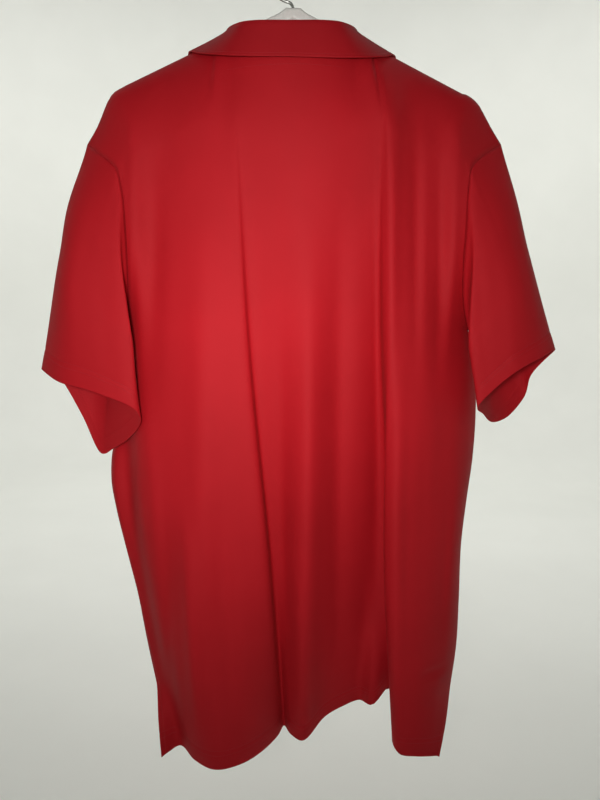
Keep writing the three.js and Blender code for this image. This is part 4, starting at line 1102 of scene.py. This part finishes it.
thread = plain_material("polyester_sewing_thread", "#96101B", "#B81C28", 0.5, 0.6, 0.05)
resin = plain_material("cast_polyester_resin", "#6E0D16", "#86141E", 0.28, 6.0, 0.02, ior=1.55)
polystyrene = plain_material("moulded_polystyrene", "#EDEEE9", "#F7F7F3", 0.34, 2.5, 0.03, ior=1.59)
plated_wire = plain_material("zinc_plated_steel_wire", "#8E908C", "#B4B6B1", 0.3, 1.2, 0.02,
                             metallic=1.0, stretch=(1, 1, 0.08))


def dress(piece, material):
    piece.data.materials.clear()
    piece.data.materials.append(material)


for piece in (back_piece, front_piece, *sleeves.values(), *bands.values()):
    dress(piece, jersey)
dress(collar_piece, rib_knit)
for piece in stitches.values():
    dress(piece, thread)
for piece in buttons:
    dress(piece, resin)
for node, material in (("hanger", polystyrene), ("hook", plated_wire)):
    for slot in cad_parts[node].material_slots:
        slot.material = material
print("materials:", ", ".join(m.name for m in bpy.data.materials if m.users))

# %% [markdown]
# ## What stands for what
# Each sheet takes the place of its solid in the picture, and everything rides on the one body.

# %% Hang the pieces on the one body, and hide the solids they replace
PIECES = [
    (back_piece, "back", "knit"), (front_piece, "front", "knit"),
    (sleeves["left"], "sleeve_left", "knit"), (sleeves["right"], "sleeve_right", "knit"),
    (collar_piece, "collar", "knit"), (bands["placket_upper"], "placket_upper", "knit"),
    (bands["placket_under"], "placket_under", "knit"),
    *[(button, f"button_{i + 1}", "button") for i, button in enumerate(buttons)],
]
for piece, node, slot_name in PIECES:
    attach(piece, "root")
    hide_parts(node)
for piece in stitches.values():
    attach(piece, "root")

# %% [markdown]
# A cut size is that of the flat pattern piece of what shows.


# %% [markdown]
# ## Floor, light and background
# The floor is plain and pale and curves up far away, so no line crosses the picture. The one strong
# light stands beside the camera, up and to its left, as in the photograph: it is near, so the hem
# and the wearer's right shoulder fall away into deeper red. A weak wide light fills the shadows.

# %% Floor
FLOOR_Z, FLOOR_R, FLOOR_BEND = -1.45, 4.2, 1.2
bm = bmesh.new()
outline = [(0.0, FLOOR_Z), (FLOOR_R - FLOOR_BEND, FLOOR_Z)]
outline += [(FLOOR_R - FLOOR_BEND + FLOOR_BEND * math.sin(a), FLOOR_Z + FLOOR_BEND * (1 - math.cos(a)))
            for a in np.linspace(0.1, math.pi / 2, 14)]
outline.append((FLOOR_R, 2.6))
verts = [bm.verts.new((x, 0, z)) for x, z in outline]
edges = [bm.edges.new(pair) for pair in zip(verts, verts[1:])]
bmesh.ops.spin(bm, geom=verts + edges, cent=(0, 0, 0), axis=(0, 0, 1), angle=2 * math.pi, steps=72,
               use_merge=True, dvec=(0, 0, 0))
bmesh.ops.remove_doubles(bm, verts=bm.verts, dist=1e-4)
bmesh.ops.recalc_face_normals(bm, faces=bm.faces)
floor_mesh = bpy.data.meshes.new("floor")
bm.to_mesh(floor_mesh)
bm.free()
floor_mesh.polygons.foreach_set("use_smooth", [True] * len(floor_mesh.polygons))
floor = bpy.data.objects.new("floor", floor_mesh)
bpy.context.scene.collection.objects.link(floor)
dress(floor, plain_material("matt_painted_floor", "#EDEEE9", "#F1F2ED", 0.8, 400.0, 0.1))
floor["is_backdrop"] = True

# %% Lights
def area_light(name, place, aim, size, watts, colour, spread=180):
    data = bpy.data.lights.new(name, "AREA")
    data.shape, data.size, data.energy, data.color = "DISK", size, watts, linear(colour)[:3]
    data.spread = math.radians(spread)
    lamp = bpy.data.objects.new(name, data)
    lamp.location = place
    lamp.rotation_euler = (Vector(aim) - Vector(place)).to_track_quat("-Z", "Y").to_euler()
    bpy.context.scene.collection.objects.link(lamp)
    return lamp


area_light("camera light", (-0.05, -0.80, -0.36), (-0.04, 0.0, -0.43), 0.10, 1.35, "#FFFAF8", spread=86)
area_light("room light", (-1.2, -1.8, 0.8), (0, 0, -0.5), 1.4, 1.2, "#F8F8F6")
for side in (-1, 1):
    area_light("wall light", (1.3 * side, 1.3, 1.5), (1.0 * side, 3.6, -0.6), 1.2, 44.0, "#FCFCFA")
world = bpy.data.worlds.new("pale room")
world.use_nodes = True
background = world.node_tree.nodes["Background"]
background.inputs["Color"].default_value = linear("#F1F3EA")
background.inputs["Strength"].default_value = 0.06
bpy.context.scene.world = world
bpy.context.scene.view_settings.view_transform = "Standard"

# %% Sizes and the end
bpy.context.view_layer.update()
triangles = sum(len(p.vertices) - 2 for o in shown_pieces() for p in o.data.polygons)
print("base triangles", triangles)
